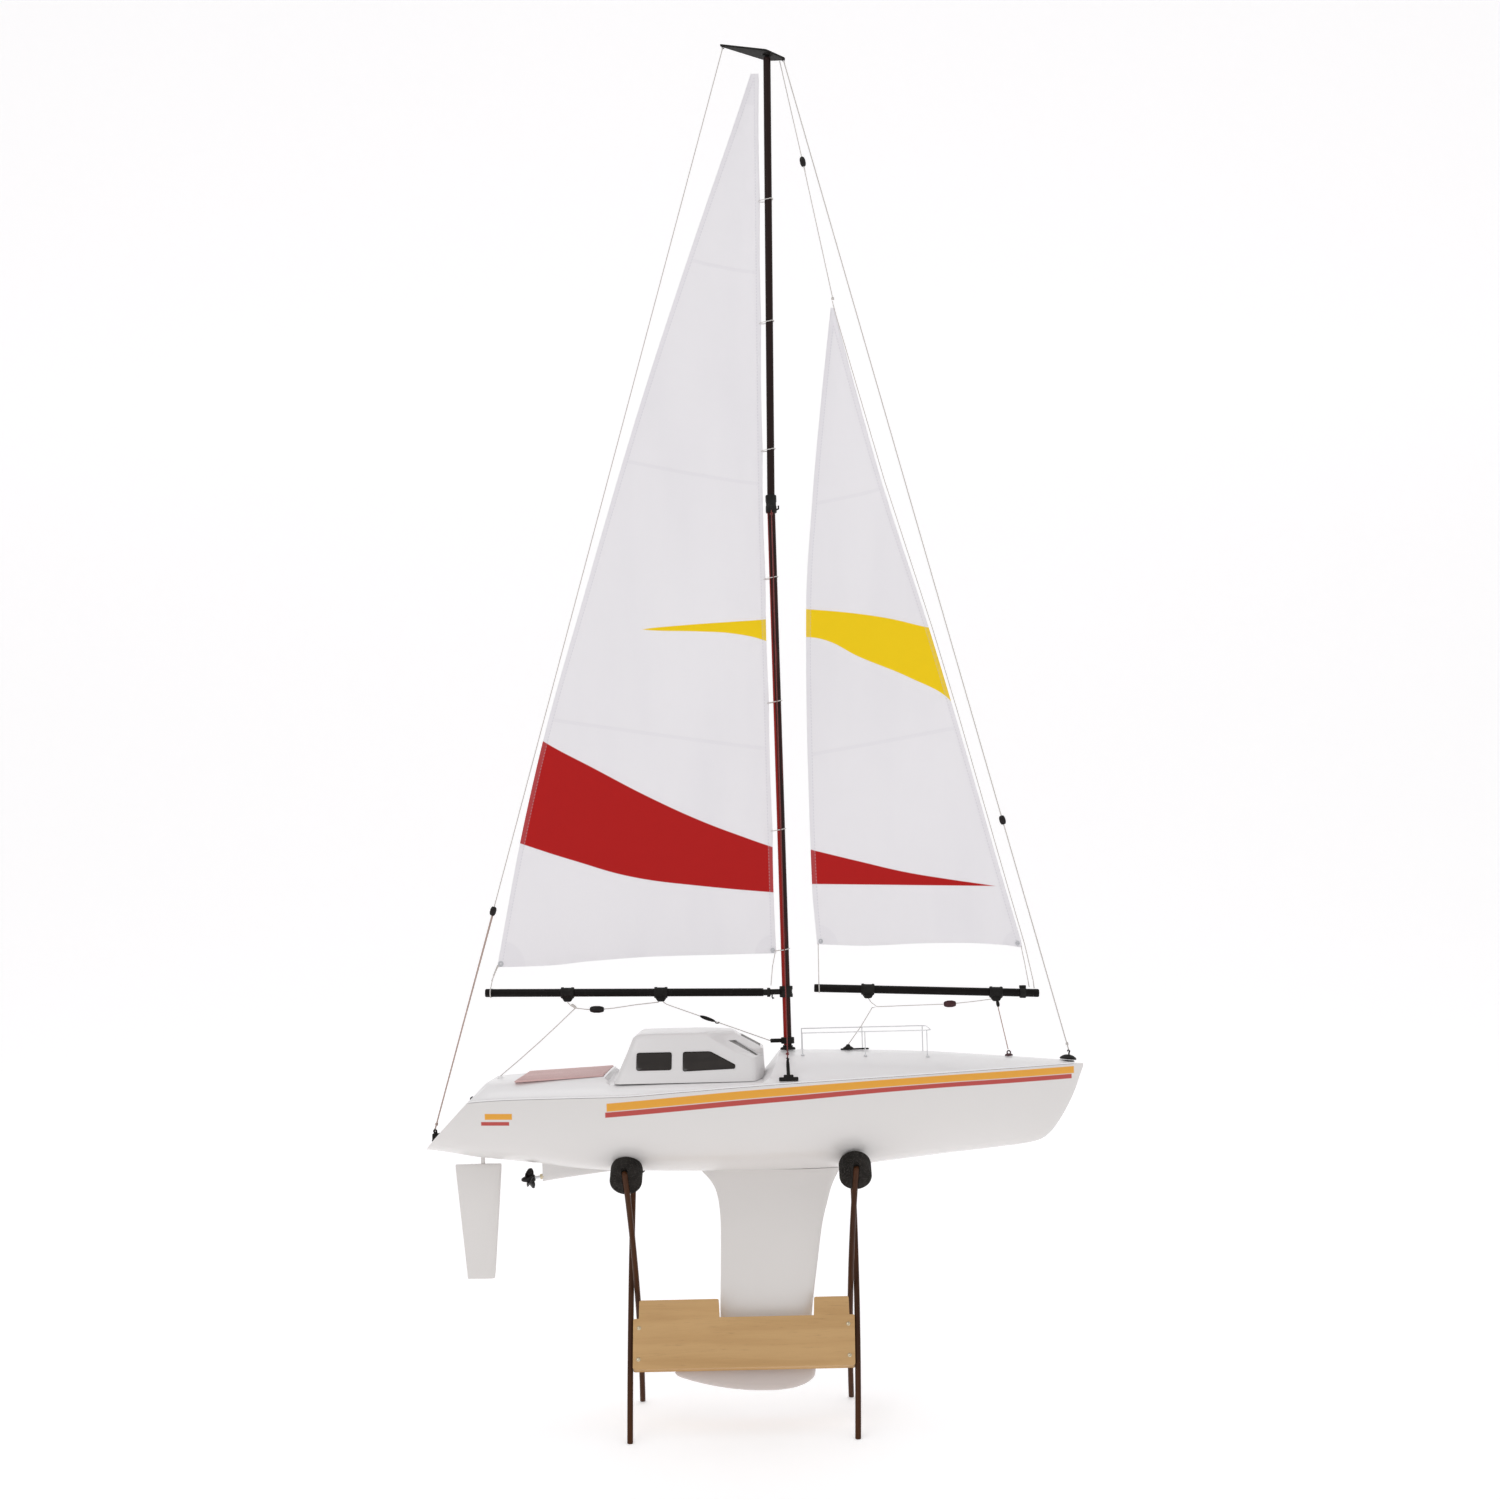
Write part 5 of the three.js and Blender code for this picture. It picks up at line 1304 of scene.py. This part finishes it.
goose.tube([(17.5, 0, 411.9), (17.5, 0, 409.2), (18.2, 0, 407.8), (19.2, 0, 408.6)], 0.7, 8)
goose.make("gooseneck_fitting", M_BLACK, "main_rig", ["gooseneck"], "black_plastic")


def boom_ring(at, d, half=6.5, hook=True):
    """Sliding band on a boom, with an eye and a hook under it."""
    b = Build()
    p = at - d * half
    L = 2 * half
    b.lathe([(4.05, 0), (5.2, 0), (5.6, 0.5), (5.6, 2.4), (5.1, 3.0), (5.1, L - 3.0), (5.6, L - 2.4), (5.6, L - 0.5), (5.2, L), (4.05, L), (4.05, 0)], p, d, 32)
    pts = soft_outline([(-6, -4.6), (6, -4.6), (3.2, -9.0), (-3.2, -9.0)], 1.2, 3)
    b.plate(pts, lambda x, z, h: V(at.x + x, h, at.z + z), 2.6, 0.4)
    b.lathe([(0.75, -0.5), (1.7, -0.5), (1.7, 0.5), (0.75, 0.5), (0.75, -0.5)], V(at.x, 0, at.z - 7.2) + V(0, 1.5, 0), V(0, 1, 0), 16)
    if hook:
        q = V(at.x, 0, at.z - 8.4)
        b.tube([q, q + V(0, 0.2, -1.6), q + V(0.9, 0, -2.6), q + V(1.6, 0, -1.8)], 0.5, 8)
    return b


boom_ring(boom_at(-186), BOOM_DIR, hook=False).make("boom_band_aft", M_BLACK, "main_rig", ["boom_ring_aft"], "black_plastic")
boom_ring(boom_at(-93), BOOM_DIR, hook=False).make("boom_band_fwd", M_BLACK, "main_rig", ["boom_ring_fwd"], "black_plastic")
boom_ring(jb_at(112.6), JD, hook=False).make("jib_band_aft", M_BLACK, "jib_rig", ["jib_ring_aft"], "black_plastic")
VC = Build()
VC.lathe([(4.35, 0), (6.2, 0), (6.6, 0.4), (6.6, 5.8), (6.2, 6.2), (4.35, 6.2), (4.35, 0)], (lower_x(363.3), 0, 363.3), (-0.0055, 0, 1), 36)
VC.rbox(14.6, 27, -1.7, 1.7, 364.5, 368.4, r=0.8)
VC.make("vang_collar_ring", M_BLACK, "main_rig", ["vang_collar"], "black_plastic")


# ------------------------------------------------------------------ sails
MAIN_LUFF = [(452, 22.6), (605, 22.0), (807, 21.4), (904, 21.3), (1012, 22.4), (1220, 25.4), (1354, 27.2)]
MAIN_LEECH = [(445, -256), (566.6, -231.5), (673.5, -205.5), (802, -167), (1016, -100.2), (1158, -51.2), (1349, 17.5), (1354, 19.2)]
JIB_LUFF = [(455, 267.2), (515, 251.8), (691, 207.5), (774, 185.5), (926.7, 141.6), (1106, 97.6)]
JIB_LEECH = [(460, 63.5), (519.4, 60), (655, 59), (796, 61.4), (908, 70.6), (1020, 83.5), (1106, 94.8)]
MAIN_FOOT = mono([(-256, 445.2), (-209, 445.4), (-161, 449.0), (-91, 452.0), (-20, 452.2), (22.6, 452.4)])
JIB_FOOT = mono([(63.5, 460.4), (118, 457.6), (168.8, 458.6), (209.5, 458.0), (249, 455.2), (267.8, 452.2)])


def sail(luff, leech, foot, z0, z1, depth, ties, rows=120, cols=44, t=0.34, camber_pow=0.75):
    luff, leech = mono(luff), mono(leech)
    grid = []
    for i in range(rows + 1):
        h = i / rows
        row = []
        for j in range(cols + 1):
            s = j / cols
            zz = z0 + (z1 - z0) * h
            x = luff(zz) + (leech(zz) - luff(zz)) * s
            zf = foot(x)
            z = zf + (z1 - zf) * h
            x = luff(z) + (leech(z) - luff(z)) * s
            # small scallops of the luff between its ties
            e = 0.0
            for a, b in zip(ties, ties[1:]):
                if a <= z <= b:
                    e = math.sin(math.pi * (z - a) / (b - a)) ** 0.8
            x -= 0.9 * e * (1 - s) ** 10
            belly = depth * 4 * (s ** camber_pow) * (1 - s) * 0.92 * max(0.0, 1 - h) ** 0.45
            y = belly
            # light wrinkles that run from the clew and the tack
            y += 0.55 * math.sin((1 - s) * 9 + h * 31) * s * (1 - s) * 4 * (1 - h)
            y += 0.35 * math.sin(26 * s + 5 * h) * math.exp(-((h - 0.02) / 0.10) ** 2)
            y += 0.30 * math.sin(60 * (h + 0.35 * s)) * math.exp(-((s - 0.97) / 0.05) ** 2) * (1 - h)
            row.append(V(x, y, z))
        grid.append(row)
    # normals for an even thickness
    verts, faces = [], []
    w = cols + 1
    for side in (-1, 1):
        for i in range(rows + 1):
            for j in range(cols + 1):
                a = grid[max(i - 1, 0)][j]
                b = grid[min(i + 1, rows)][j]
                c = grid[i][max(j - 1, 0)]
                d = grid[i][min(j + 1, cols)]
                n = (b - a).cross(d - c)
                n = n.normalized() if n.length > 1e-9 else V(0, 1, 0)
                if n.y < 0:
                    n = -n
                verts.append(grid[i][j] + n * (side * t / 2))
    k = (rows + 1) * w
    for i in range(rows):
        for j in range(cols):
            a = i * w + j
            faces.append((a, a + 1, a + w + 1, a + w))
            faces.append((k + a, k + a + w, k + a + w + 1, k + a + 1))
    for i in range(rows):
        for j in (0, cols):
            a = i * w + j
            q = (a, a + w, k + a + w, k + a)
            faces.append(q if j == 0 else tuple(reversed(q)))
    for j in range(cols):
        for i in (0, rows):
            a = i * w + j
            q = (a, k + a, k + a + 1, a + 1)
            faces.append(q if i == 0 else tuple(reversed(q)))
    area = 0.0
    for i in range(rows):
        for j in range(cols):
            a, b, c, d = grid[i][j], grid[i][j + 1], grid[i + 1][j + 1], grid[i + 1][j]
            area += 0.5 * ((b - a).cross(c - a).length + (c - a).cross(d - a).length)
    return Build().add(verts, faces), area * 1e-6


CLOTH_RED, CLOTH_YEL = (0.56, 0.011, 0.010), (0.97, 0.74, 0.008)
main_bands = [
    ([(-232, 690), (-210.5, 673.0), (-154.1, 640.8), (-101.3, 611.7), (-49.0, 586.3), (-7.2, 569.2), (25.0, 556.9)],
     [(-232.2, 568.7), (-176.8, 549.3), (-113.9, 530.7), (-50.5, 521.2), (25, 512.7)], CLOTH_RED),
    ([(-106, 781.6), (-104.9, 782.0), (-66.3, 785.1), (-15.7, 787.1), (26, 787.7)],
     [(-106, 782.4), (-104.9, 782.0), (-46.2, 778.4), (-15.9, 775.6), (26, 763.0)], CLOTH_YEL),
]
jib_bands = [
    ([(58, 555.2), (106.7, 542.3), (157.2, 529.5), (202.4, 521.0), (242.5, 514.0), (256, 511.2)],
     [(58, 520.5), (156.9, 517.1), (242.5, 514.0), (256, 513.4)], CLOTH_RED),
    ([(58, 797.2), (125.9, 790.0), (187.4, 774.1), (212, 767)],
     [(58, 768.8), (78.8, 765.8), (112.6, 748.6), (163.3, 726.0), (202.8, 701.7), (212, 678)], CLOTH_YEL),
]
M_MAIN = sail_mat("sailcloth_main", MAIN_LUFF, main_bands, [(-254, 446, 26), (22, 452, 20), (22, 1356, 34)], [(660, -0.16), (930, -0.2), (1150, -0.22)], MAIN_LEECH)
M_JIB = sail_mat("sailcloth_jib", JIB_LUFF, jib_bands, [(64, 460, 20), (266, 453, 18), (96, 1106, 26)], [(640, 0.16), (890, 0.2)], JIB_LEECH)
TIES = [455.9, 575.3, 703.9, 829.6, 960.7, 1093.0, 1220.4, 1340]
main_b, main_area = sail(MAIN_LUFF, MAIN_LEECH, MAIN_FOOT, 452, 1354, 11, TIES)
main_sail = main_b.make("mainsail_cloth", M_MAIN, "main_rig", ["mainsail"], "sail_cloth", sharp=60)
jib_b, jib_area = sail(JIB_LUFF, JIB_LEECH, JIB_FOOT, 455, 1106, 9, [455, 1106], rows=96, cols=40)
jib_sail = jib_b.make("jib_cloth", M_JIB, "jib_rig", ["jib_sail"], "sail_cloth", sharp=60)


# ------------------------------------------------------------------ lines
def bowsie(p, q, t, mat, body, name, length=9.0, r=3.2):
    """Line adjuster: a slim turned button that the line passes through."""
    p, q = V(*p), V(*q)
    c, d = p.lerp(q, t), (q - p).normalized()
    h = length / 2
    prof = [(0.75, -h), (r * 0.55, -h), (r * 0.8, -h * 0.82), (r, -h * 0.35), (r, h * 0.35), (r * 0.8, h * 0.82), (r * 0.55, h), (0.75, h), (0.75, -h)]
    return Build().lathe(prof, c, d, 24).make(name, mat, body, slot="black_plastic")


def knot(b, p, d, r=1.25):
    """Overhand knot: a little coil of line round the point."""
    p, d = V(*p), V(*d).normalized()
    u, w = frame_of(d)
    pts = []
    for k in range(26):
        a = 2 * math.pi * k / 12
        pts.append(p + d * (k * 0.085 - 1.1) + u * (r * math.cos(a)) + w * (r * math.sin(a)))
    b.tube(pts, 0.42, 6)
    return b


def loop(b, a, c, w=1.1, r=0.42, n=16, side=None):
    """Small loop of line from a round c and back."""
    a, c = V(*a), V(*c)
    d = (c - a)
    u = side or V(0, 1, 0)
    pts = []
    for k in range(n + 1):
        t = k / n
        s = math.sin(math.pi * t)
        pts.append(a + d * s + u * (w * math.sin(2 * math.pi * t)))
    b.tube(pts, r, 6)
    return b


FS = ((309.4, 0, 350.6), (53.6, 0, 1366.2))
BS = ((-320.2, 0, 285.6), (-9, 0, 1382.6))


def straight(p, q, r, n=2):
    p, q = V(*p), V(*q)
    return [p.lerp(q, i / n) for i in range(n + 1)]


fs = Build().tube(straight(*FS, 0), 0.62, 10)
b0, b1 = V(*FS[0]), V(*FS[1])
t = (579.5 - 350.6) / (1366.2 - 350.6)
m_ = b0.lerp(b1, t)
fs.tube([m_ + V(0.6, 0.9, -3), b0.lerp(b1, t * 0.5) + V(0.5, 1.5, 0), b0 + V(-0.6, 1.2, 2.2)], 0.45, 8)
knot(fs, b0.lerp(b1, 0.006), b1 - b0)
fs.make("forestay_line", M_PALE, "boat", ["forestay"], "pale_cord")
bowsie(*FS, t, M_BLACK_GLOSS, "boat", "forestay_bowsie")

b0, b1 = V(*BS[0]), V(*BS[1])
t = (501.2 - 285.6) / (1382.6 - 285.6)
bk = Build().tube([b0, b0.lerp(b1, t)], 0.66, 10)
bk.tube([b0 + V(0.5, 1.1, 1.5), b0.lerp(b1, t * 0.5) + V(0.2, 1.7, 0), b0.lerp(b1, t) + V(0, 0.9, -3)], 0.5, 8)
knot(bk, b0.lerp(b1, 0.006), b1 - b0)
bk.make("backstay_tail", M_PALE_RED, "boat", slot="pale_cord")
Build().tube([b0.lerp(b1, t), b1], 0.55, 10).make("backstay_line", M_PALE, "boat", ["backstay"], "pale_cord")
bowsie(*BS, t, M_BLACK_GLOSS, "boat", "backstay_bowsie")

for s, nm in ((-1, "stbd"), (1, "port")):
    p, q = V(31.2, s * 83.5, 355.1), V(29, s * 6.8, 899)
    sh = Build().tube([p, q], 0.55, 10)
    knot(sh, p.lerp(q, 0.008), q - p)
    knot(sh, p.lerp(q, 0.99), q - p)
    sh.make(f"shroud_line_{nm}", M_DARK_CORD, "boat", [f"shroud_{nm}"], "red_cord")

JS = [(49.4, 0, 1366.4), (70, 0, 1261), (97.4, 0, 1114)]
LUFF_WIRE = [(97.4, 0, 1113), (101.4, 0, 1096), (145.0, 0, 926.7), (189.0, 0, 774), (211.0, 0, 691), (255.2, 0, 515), (270.6, 0, 455), (277.6, 0, 420), (278.4, 0, 412)]
js = Build().tube(JS, 0.5, 8)
js.tube([V(*p) + V(-0.9, 0.35, 0) for p in LUFF_WIRE], 0.5, 8)
knot(js, (97.0, 0, 1115.5), V(27, 0, -147))
loop(js, (70.9, 0, 1257), (72.6, 0, 1249), 1.1)
js.make("jib_halyard_luff", M_PALE, "jib_rig", ["jib_stay"], "pale_cord")
bowsie(JS[1], JS[2], 0.01, M_BLACK_GLOSS, "jib_rig", "jib_halyard_bowsie", length=10, r=3.0)

# corner ties of the sails
ct = Build()
loop(ct, (-254.6, 0.3, 447), (-261.5, 0, 432), 0.6, 0.45)
ct.tube([(-255.5, 0.2, 447.4), (-259.5, 0, 438), (-262.6, 0, 424.6)], 0.45, 8)
ct.tube([V(-262.6, 4.5 * math.sin(a), 419.9 + 4.5 * math.cos(a)) for a in [2 * math.pi * k / 24 for k in range(24)]], 0.5, 8, loop=True)
ct.tube([(21.4, 0.2, 452.4), (18.6, 0, 440), (16.6, 0, 421)], 0.45, 8)
ct.make("main_corner_ties", M_PALE, "main_rig", slot="pale_cord")
clew = Build()
clew.lathe([(1.1, -0.45), (2.6, -0.45), (2.8, 0), (2.6, 0.45), (1.1, 0.45), (1.1, -0.45)], (-252.2, 0.55, 448.6), (0, 1, 0), 24)
clew.lathe([(1.0, -0.45), (2.2, -0.45), (2.4, 0), (2.2, 0.45), (1.0, 0.45), (1.0, -0.45)], (19.2, 0.5, 455.6), (0, 1, 0), 24)
clew.make("main_eyelets", M_STEEL, "main_rig", slot="steel")
jt = Build()
jt.tube([(64.6, 0.2, 461), (64.4, 0, 440), (64.2, 0, 420.8)], 0.45, 8)
jt.tube([V(64.3, 4.5 * math.sin(a), 417.1 + 4.5 * math.cos(a)) for a in [2 * math.pi * k / 24 for k in range(24)]], 0.5, 8, loop=True)
jt.tube([(266.0, 0.2, 453.8), (269.4, 0, 434), (272.6, 0, 413.4)], 0.45, 8)
jt.make("jib_corner_ties", M_PALE, "jib_rig", slot="pale_cord")
je = Build()
je.lathe([(0.9, -0.45), (2.1, -0.45), (2.3, 0), (2.1, 0.45), (0.9, 0.45), (0.9, -0.45)], (67.2, 0.5, 463.4), (0, 1, 0), 24)
je.lathe([(0.9, -0.45), (2.1, -0.45), (2.3, 0), (2.1, 0.45), (0.9, 0.45), (0.9, -0.45)], (262.6, 0.5, 456.8), (0, 1, 0), 24)
je.make("jib_eyelets", M_STEEL, "jib_rig", slot="steel")
# fitting on top of the jib boom's forward end
jf = Build()
c = jb_at(266)
jf.lathe([(4.1, -3.0), (5.0, -3.0), (5.3, -2.5), (5.3, 2.5), (5.0, 3.0), (4.1, 3.0), (4.1, -3.0)], c, JD, 28)
jf.rbox(c.x - 3.4, c.x + 3.4, -1.9, 1.9, c.z + 4.6, c.z + 7.4, r=0.8)
jf.make("jib_tack_fitting", M_BLACK, "jib_rig", slot="black_plastic")

# ties from the luff round the mast
for i, z in enumerate(TIES[:7]):
    up = z > 904
    mx = upper_x(z) if up else lower_x(z)
    lf = mono(MAIN_LUFF)(z)
    r = 4.9
    pts = []
    for k in range(28):
        a = 2 * math.pi * k / 28
        x = mx + r * math.cos(a)
        if x < mx:
            x = mx + (x - mx) * ((mx - lf + 1.6) / r)
        pts.append((x, r * math.sin(a) * (1 if x > mx else 0.9), z + 1.2 * math.cos(a)))
    Build().tube(pts, 0.42, 7, loop=True).make(f"luff_tie_{i}", M_PALE, "boat" if up else "main_rig", slot="pale_cord")

# mainsheet: deck to the aft band, and the span along the boom with its adjuster
A, B_ = V(-254, 0, 338.0), V(-179, 0, 402.6)
msh = Build().tube([A, A.lerp(B_, 0.25) + V(0, 0, -1.0), A.lerp(B_, 0.5) + V(0, 0, -1.4), A.lerp(B_, 0.75) + V(0, 0, -1.0), B_], 0.5, 8)
ms = msh.make("mainsheet_line", M_PALE, None)
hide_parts("mainsheet")
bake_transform(ms)
sp = Build()
sp.tube([(-186, 0, 408.8), (-183, 0, 405.6), (-178.8, 0, 403.4)], 0.5, 8)
sp.tube([(-178.8, 0, 403.2), (-168, 0, 401.6), (-157, 0, 400.9), (-140, 0, 402.2), (-118, 0, 405.0), (-95.5, 0, 407.0)], 0.5, 8)
sp.lathe([(0, -3.2), (1.0, -3.0), (1.5, -1.2), (1.5, 1.2), (1.0, 3.0), (0, 3.2)], (-180, 0, 405), (0.75, 0, -0.6), 16)
sp.make("sheet_span_line", M_PALE, "main_rig", slot="pale_cord")
bowsie((-168, 0, 401.6), (-146, 0, 401.0), 0.5, M_BLACK_GLOSS, "main_rig", "sheet_bowsie", length=14, r=3.5)

# vang
VA, VB = V(-87.5, 0, 404.6), V(13.2, 0, 367.0)
vg = Build().tube([V(-91, 0, 407.2), VA, VA.lerp(VB, 0.34)], 0.5, 8)
vg.tube([VA.lerp(VB, 0.46), VB, VB + V(2.4, 0, -0.6)], 0.5, 8)
vg.make("vang_line", M_PALE, "main_rig", ["vang"], "pale_cord")
hk = Build()
h0, h1 = VA.lerp(VB, 0.33), VA.lerp(VB, 0.47)
hk.tube([h0, h0.lerp(h1, 0.2), h0.lerp(h1, 0.5), h0.lerp(h1, 0.8), h1], [0.9, 1.7, 1.9, 1.6, 0.9], 14)
hk.tube([h1, h1 + V(1.4, 0, -2.0), h1 + V(3.4, 0, -2.2), h1 + V(4.4, 0, -0.8)], 0.55, 8)
hk.make("vang_hook", M_BLACK, "main_rig", slot="black_plastic")

# jib sheet: fairlead to the aft band, with a knot; span with its adjuster; swivel to the deck eye
C, D = V(92, 0, 361.4), V(116.4, 0, 396.6)
jsh = Build().tube([C, C.lerp(D, 0.5) + V(0.6, 0, -0.6), D], 0.45, 8)
o = jsh.make("jib_sheet_line", M_PALE, None)
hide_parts("jib_sheet")
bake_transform(o)
js2 = Build()
js2.tube([(112.6, 0, 406.2), (116, 0, 401.4), (121.4, 0, 397.4), (116.4, 0, 396.4)], 0.45, 8)
js2.tube([(121.4, 0, 397.4), (160, 0, 398.0), (193.6, 0, 398.4), (216, 0, 400.2), (236.4, 0, 402.4)], 0.42, 8)
js2.make("jib_span_line", M_PALE, "jib_rig", slot="pale_cord")
bowsie((182, 0, 398.3), (205, 0, 398.7), 0.5, M_WINE, "jib_rig", "jib_sheet_bowsie", length=12, r=3.4)
sw = Build()
c = jb_at(239.5)
sw.lathe([(4.05, -6.5), (5.2, -6.5), (5.6, -6.0), (5.6, -4.0), (5.1, -3.4), (5.1, 3.4), (5.6, 4.0), (5.6, 6.0), (5.2, 6.5), (4.05, 6.5), (4.05, -6.5)], c, JD, 32)
sw.plate(soft_outline([(-6, -4.6), (6, -4.6), (3.2, -9.0), (-3.2, -9.0)], 1.2, 3), lambda x, z, h: V(c.x + x, h, c.z + z), 2.6, 0.4)
sw.lathe([(0, -3.0), (1.3, -2.8), (1.7, -1), (1.7, 1.4), (1.1, 3.0), (0, 3.2)], (241, 0, 397.6), (0.16, 0, -1), 16)
sw.make("jib_swivel_fitting", M_BLACK, "jib_rig", ["jib_swivel"], "black_plastic")
Build().tube([(240.6, 0, 399.8), (241.2, 0, 393.8), (249.6, 0, 352.6)], 0.5, 8).make("jib_swivel_line", M_PALE_RED, "jib_rig", slot="pale_cord")


# ------------------------------------------------------------------ deck fittings
bow = Build()
bow.lathe([(0, 0), (8.2, 0), (8.2, 1.0), (7.4, 2.0), (5.3, 3.5), (2.6, 4.4), (0, 4.6)], (308.4, 0, 341.6), (0.1, 0, 1), 36)
bow.tube([(309.4, 0, 343.6), (309.5, 0, 347.2), (310.3, 0, 349.6), (309.0, 0, 350.6), (308.2, 0, 349.4)], 0.8, 10)
bow.make("bow_plate_dome", M_BLACK, "boat", ["bow_plate"], "black_plastic")
st = Build()
st.plate(soft_outline([(-4.5, -5), (4.5, -5), (4.5, 5), (-4.5, 5)], 2.0, 4), lambda a, b, h: V(-318.9, a, 279.4) + V(0.696, 0, 0.718) * b + V(-0.718, 0, 0.696) * h, 1.8, 0.4)
st.rbox(-322.4, -316.4, -3.4, 3.4, 275.6, 283.2, r=1.4)
st.tube([(-318.9, 0, 281.6), (-320.2, 0, 283.6), (-321.0, 0, 285.4), (-320.0, 0, 287.0), (-318.6, 0, 286.0), (-318.4, 0, 283.4)], 1.0, 10)
st.make("stern_plate_hook", M_BLACK, "boat", ["stern_plate"], "black_plastic")
te = Build()
te.lathe([(0, -0.8), (3.6, -0.8), (3.6, 0.7), (2.7, 1.7), (1.9, 3.2), (1.0, 3.7), (0, 3.8)], (-281.3, 0, 315.0), (-0.718, 0, 0.696), 28)
te.make("transom_eye", M_BLACK, "boat", slot="black_plastic")
for s, nm in ((-1, "stbd"), (1, "port")):
    cp = Build()
    y0, y1 = sorted((s * 85.7, s * 88.5))
    cp.rbox(22.5, 41, y0, y1, 333.8, 337.8, r=1.1)
    cp.rbox(27.0, 36.4, y0 + 0.1, y1 - 0.1, 336.8, 340.0, r=0.9)
    cp.tube([(31.6, s * 87.0, 338), (31.5, s * 86.2, 342.5), (31.3, s * 84.8, 350), (31.2, s * 84.3, 353), (31.9, s * 84.2, 355.0), (31.0, s * 84.0, 355.9), (30.4, s * 84.1, 354.6)], [1.7, 1.7, 1.6, 1.3, 1.0, 0.9, 0.8], 12)
    cp.make(f"chainplate_hook_{nm}", M_BLACK, "boat", [f"chainplate_{nm}"], "black_plastic")
eye = Build()
eye.lathe([(0, 0), (4, 0), (4, 1.0), (3.2, 1.8), (1.2, 2.2), (0, 2.2)], (250.2, 0, 346.3), (0, 0, 1), 28)
eye.tube([V(250.2 + 1.7 * math.cos(a), 0, 349.5 + 1.7 * math.sin(a)) for a in [2 * math.pi * k / 20 for k in range(20)]], 0.65, 8, loop=True)
eye.make("jib_eye_bolt", M_WINE, "boat", ["jib_deck_eye"], "black_plastic")
fl = Build()
fl.rbox(84, 112, -2.9, 2.9, 355.8, 357.2, r=1.2)
fl.lathe([(0, 0), (5.4, 0), (5.4, 1.2), (4.6, 2.4), (2.6, 3.4), (1.7, 4.9), (1.1, 5.3), (0, 5.3)], (91.5, 0, 355.9), (0, 0, 1), 32)
fl.make("sheet_fairlead_cup", M_BLACK, "boat", ["sheet_fairlead"], "black_plastic")

# guard rail of bent wire
zr, y, xa, xf = 375.5, 36.0, 46.0, 171.5
rail = Build()
path = []
for k in range(7):
    a = math.radians(90 * k / 6)
    path.append((xf - 8 + 8 * math.sin(a), -(y - 8) - 8 * math.cos(a), zr))
path = [(xa, -y, zr), (80, -y, zr), (125, -y, zr)] + path + [(p[0], -p[1], p[2]) for p in reversed(path)] + [(125, y, zr), (80, y, zr), (xa, y, zr)]
rail.tube(path, 0.52, 10)


def foot_z(x, yy):
    Bd = beam(x) - 2.5
    return deck_z(x, yy / Bd)


for x, yy in ((xa, -y), (xa, y), (107, -y), (107, y), (xf - 4, -y + 4), (xf - 4, y - 4)):
    z0 = foot_z(x, yy)
    rail.tube([(x, yy, z0 - 0.2), (x, yy, zr)], 0.5, 10)
    rail.lathe([(0, -0.4), (1.9, -0.2), (1.9, 0.5), (1.2, 1.2), (0, 1.3)], (x, yy, z0 + 0.2), (0, 0, 1), 18)
rail.make("guard_rail_wire", M_RAIL, "boat", ["guard_rail"], "rail_wire")

# sheet outlet in the aft deck
so = Build()
so.lathe([(0, 0), (3.4, 0), (3.4, 0.5), (2.4, 1.3), (1.2, 1.9), (0, 1.9)], (-254, 0, 335.8), (0, 0, 1), 24)
so.make("sheet_outlet", M_DECK, "boat", slot="deck_white")

# ------------------------------------------------------------------ CAD nodes that stay, with finished materials
KEEP = {
    "stern_tube": M_BRASS, "prop_shaft": M_STEEL, "motor": M_STEEL, "servo_tray": M_PLY, "rudder_servo": M_BLACK, "sail_servo": M_BLACK,
    "receiver": M_BLUE, "battery_pack": M_GREEN, "tiller_arm": M_BLACK, "rudder_horn": M_BLACK, "rudder_pushrod": M_STEEL, "sail_arm": M_BLACK,
}
for node, m in KEEP.items():
    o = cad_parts[node]
    o.data.materials.clear()
    o.data.materials.append(m)

# ------------------------------------------------------------------ floor
fm = Mat("floor_white", (0.92, 0.915, 0.92), rough=0.7)
fm.over(fm.math("MULTIPLY", fm.noise(3, 2), 0.05), (0.86, 0.86, 0.87))
fm.gloss(8, 0.6, 0.75)
fm.b.inputs["Emission Color"].default_value = (1.0, 0.992, 0.996, 1)
fm.b.inputs["Emission Strength"].default_value = 0.28
prof = [(-5.0, 0.0), (3.0, 0.0)] + [(3.0 + 2.5 * math.sin(math.radians(a)), 2.5 - 2.5 * math.cos(math.radians(a))) for a in range(5, 91, 5)] + [(5.5, 7.0)]
fv = [(x, y, z - 0.0002) for y, z in prof for x in (-9.0, 9.0)]
ff = [(2 * i, 2 * i + 1, 2 * i + 3, 2 * i + 2) for i in range(len(prof) - 1)]
floor_me = bpy.data.meshes.new("floor")
floor_me.from_pydata(fv, [], ff)
floor_me.shade_smooth()
floor = bpy.data.objects.new("floor", floor_me)
bpy.context.scene.collection.objects.link(floor)
floor_me.materials.append(fm.done())
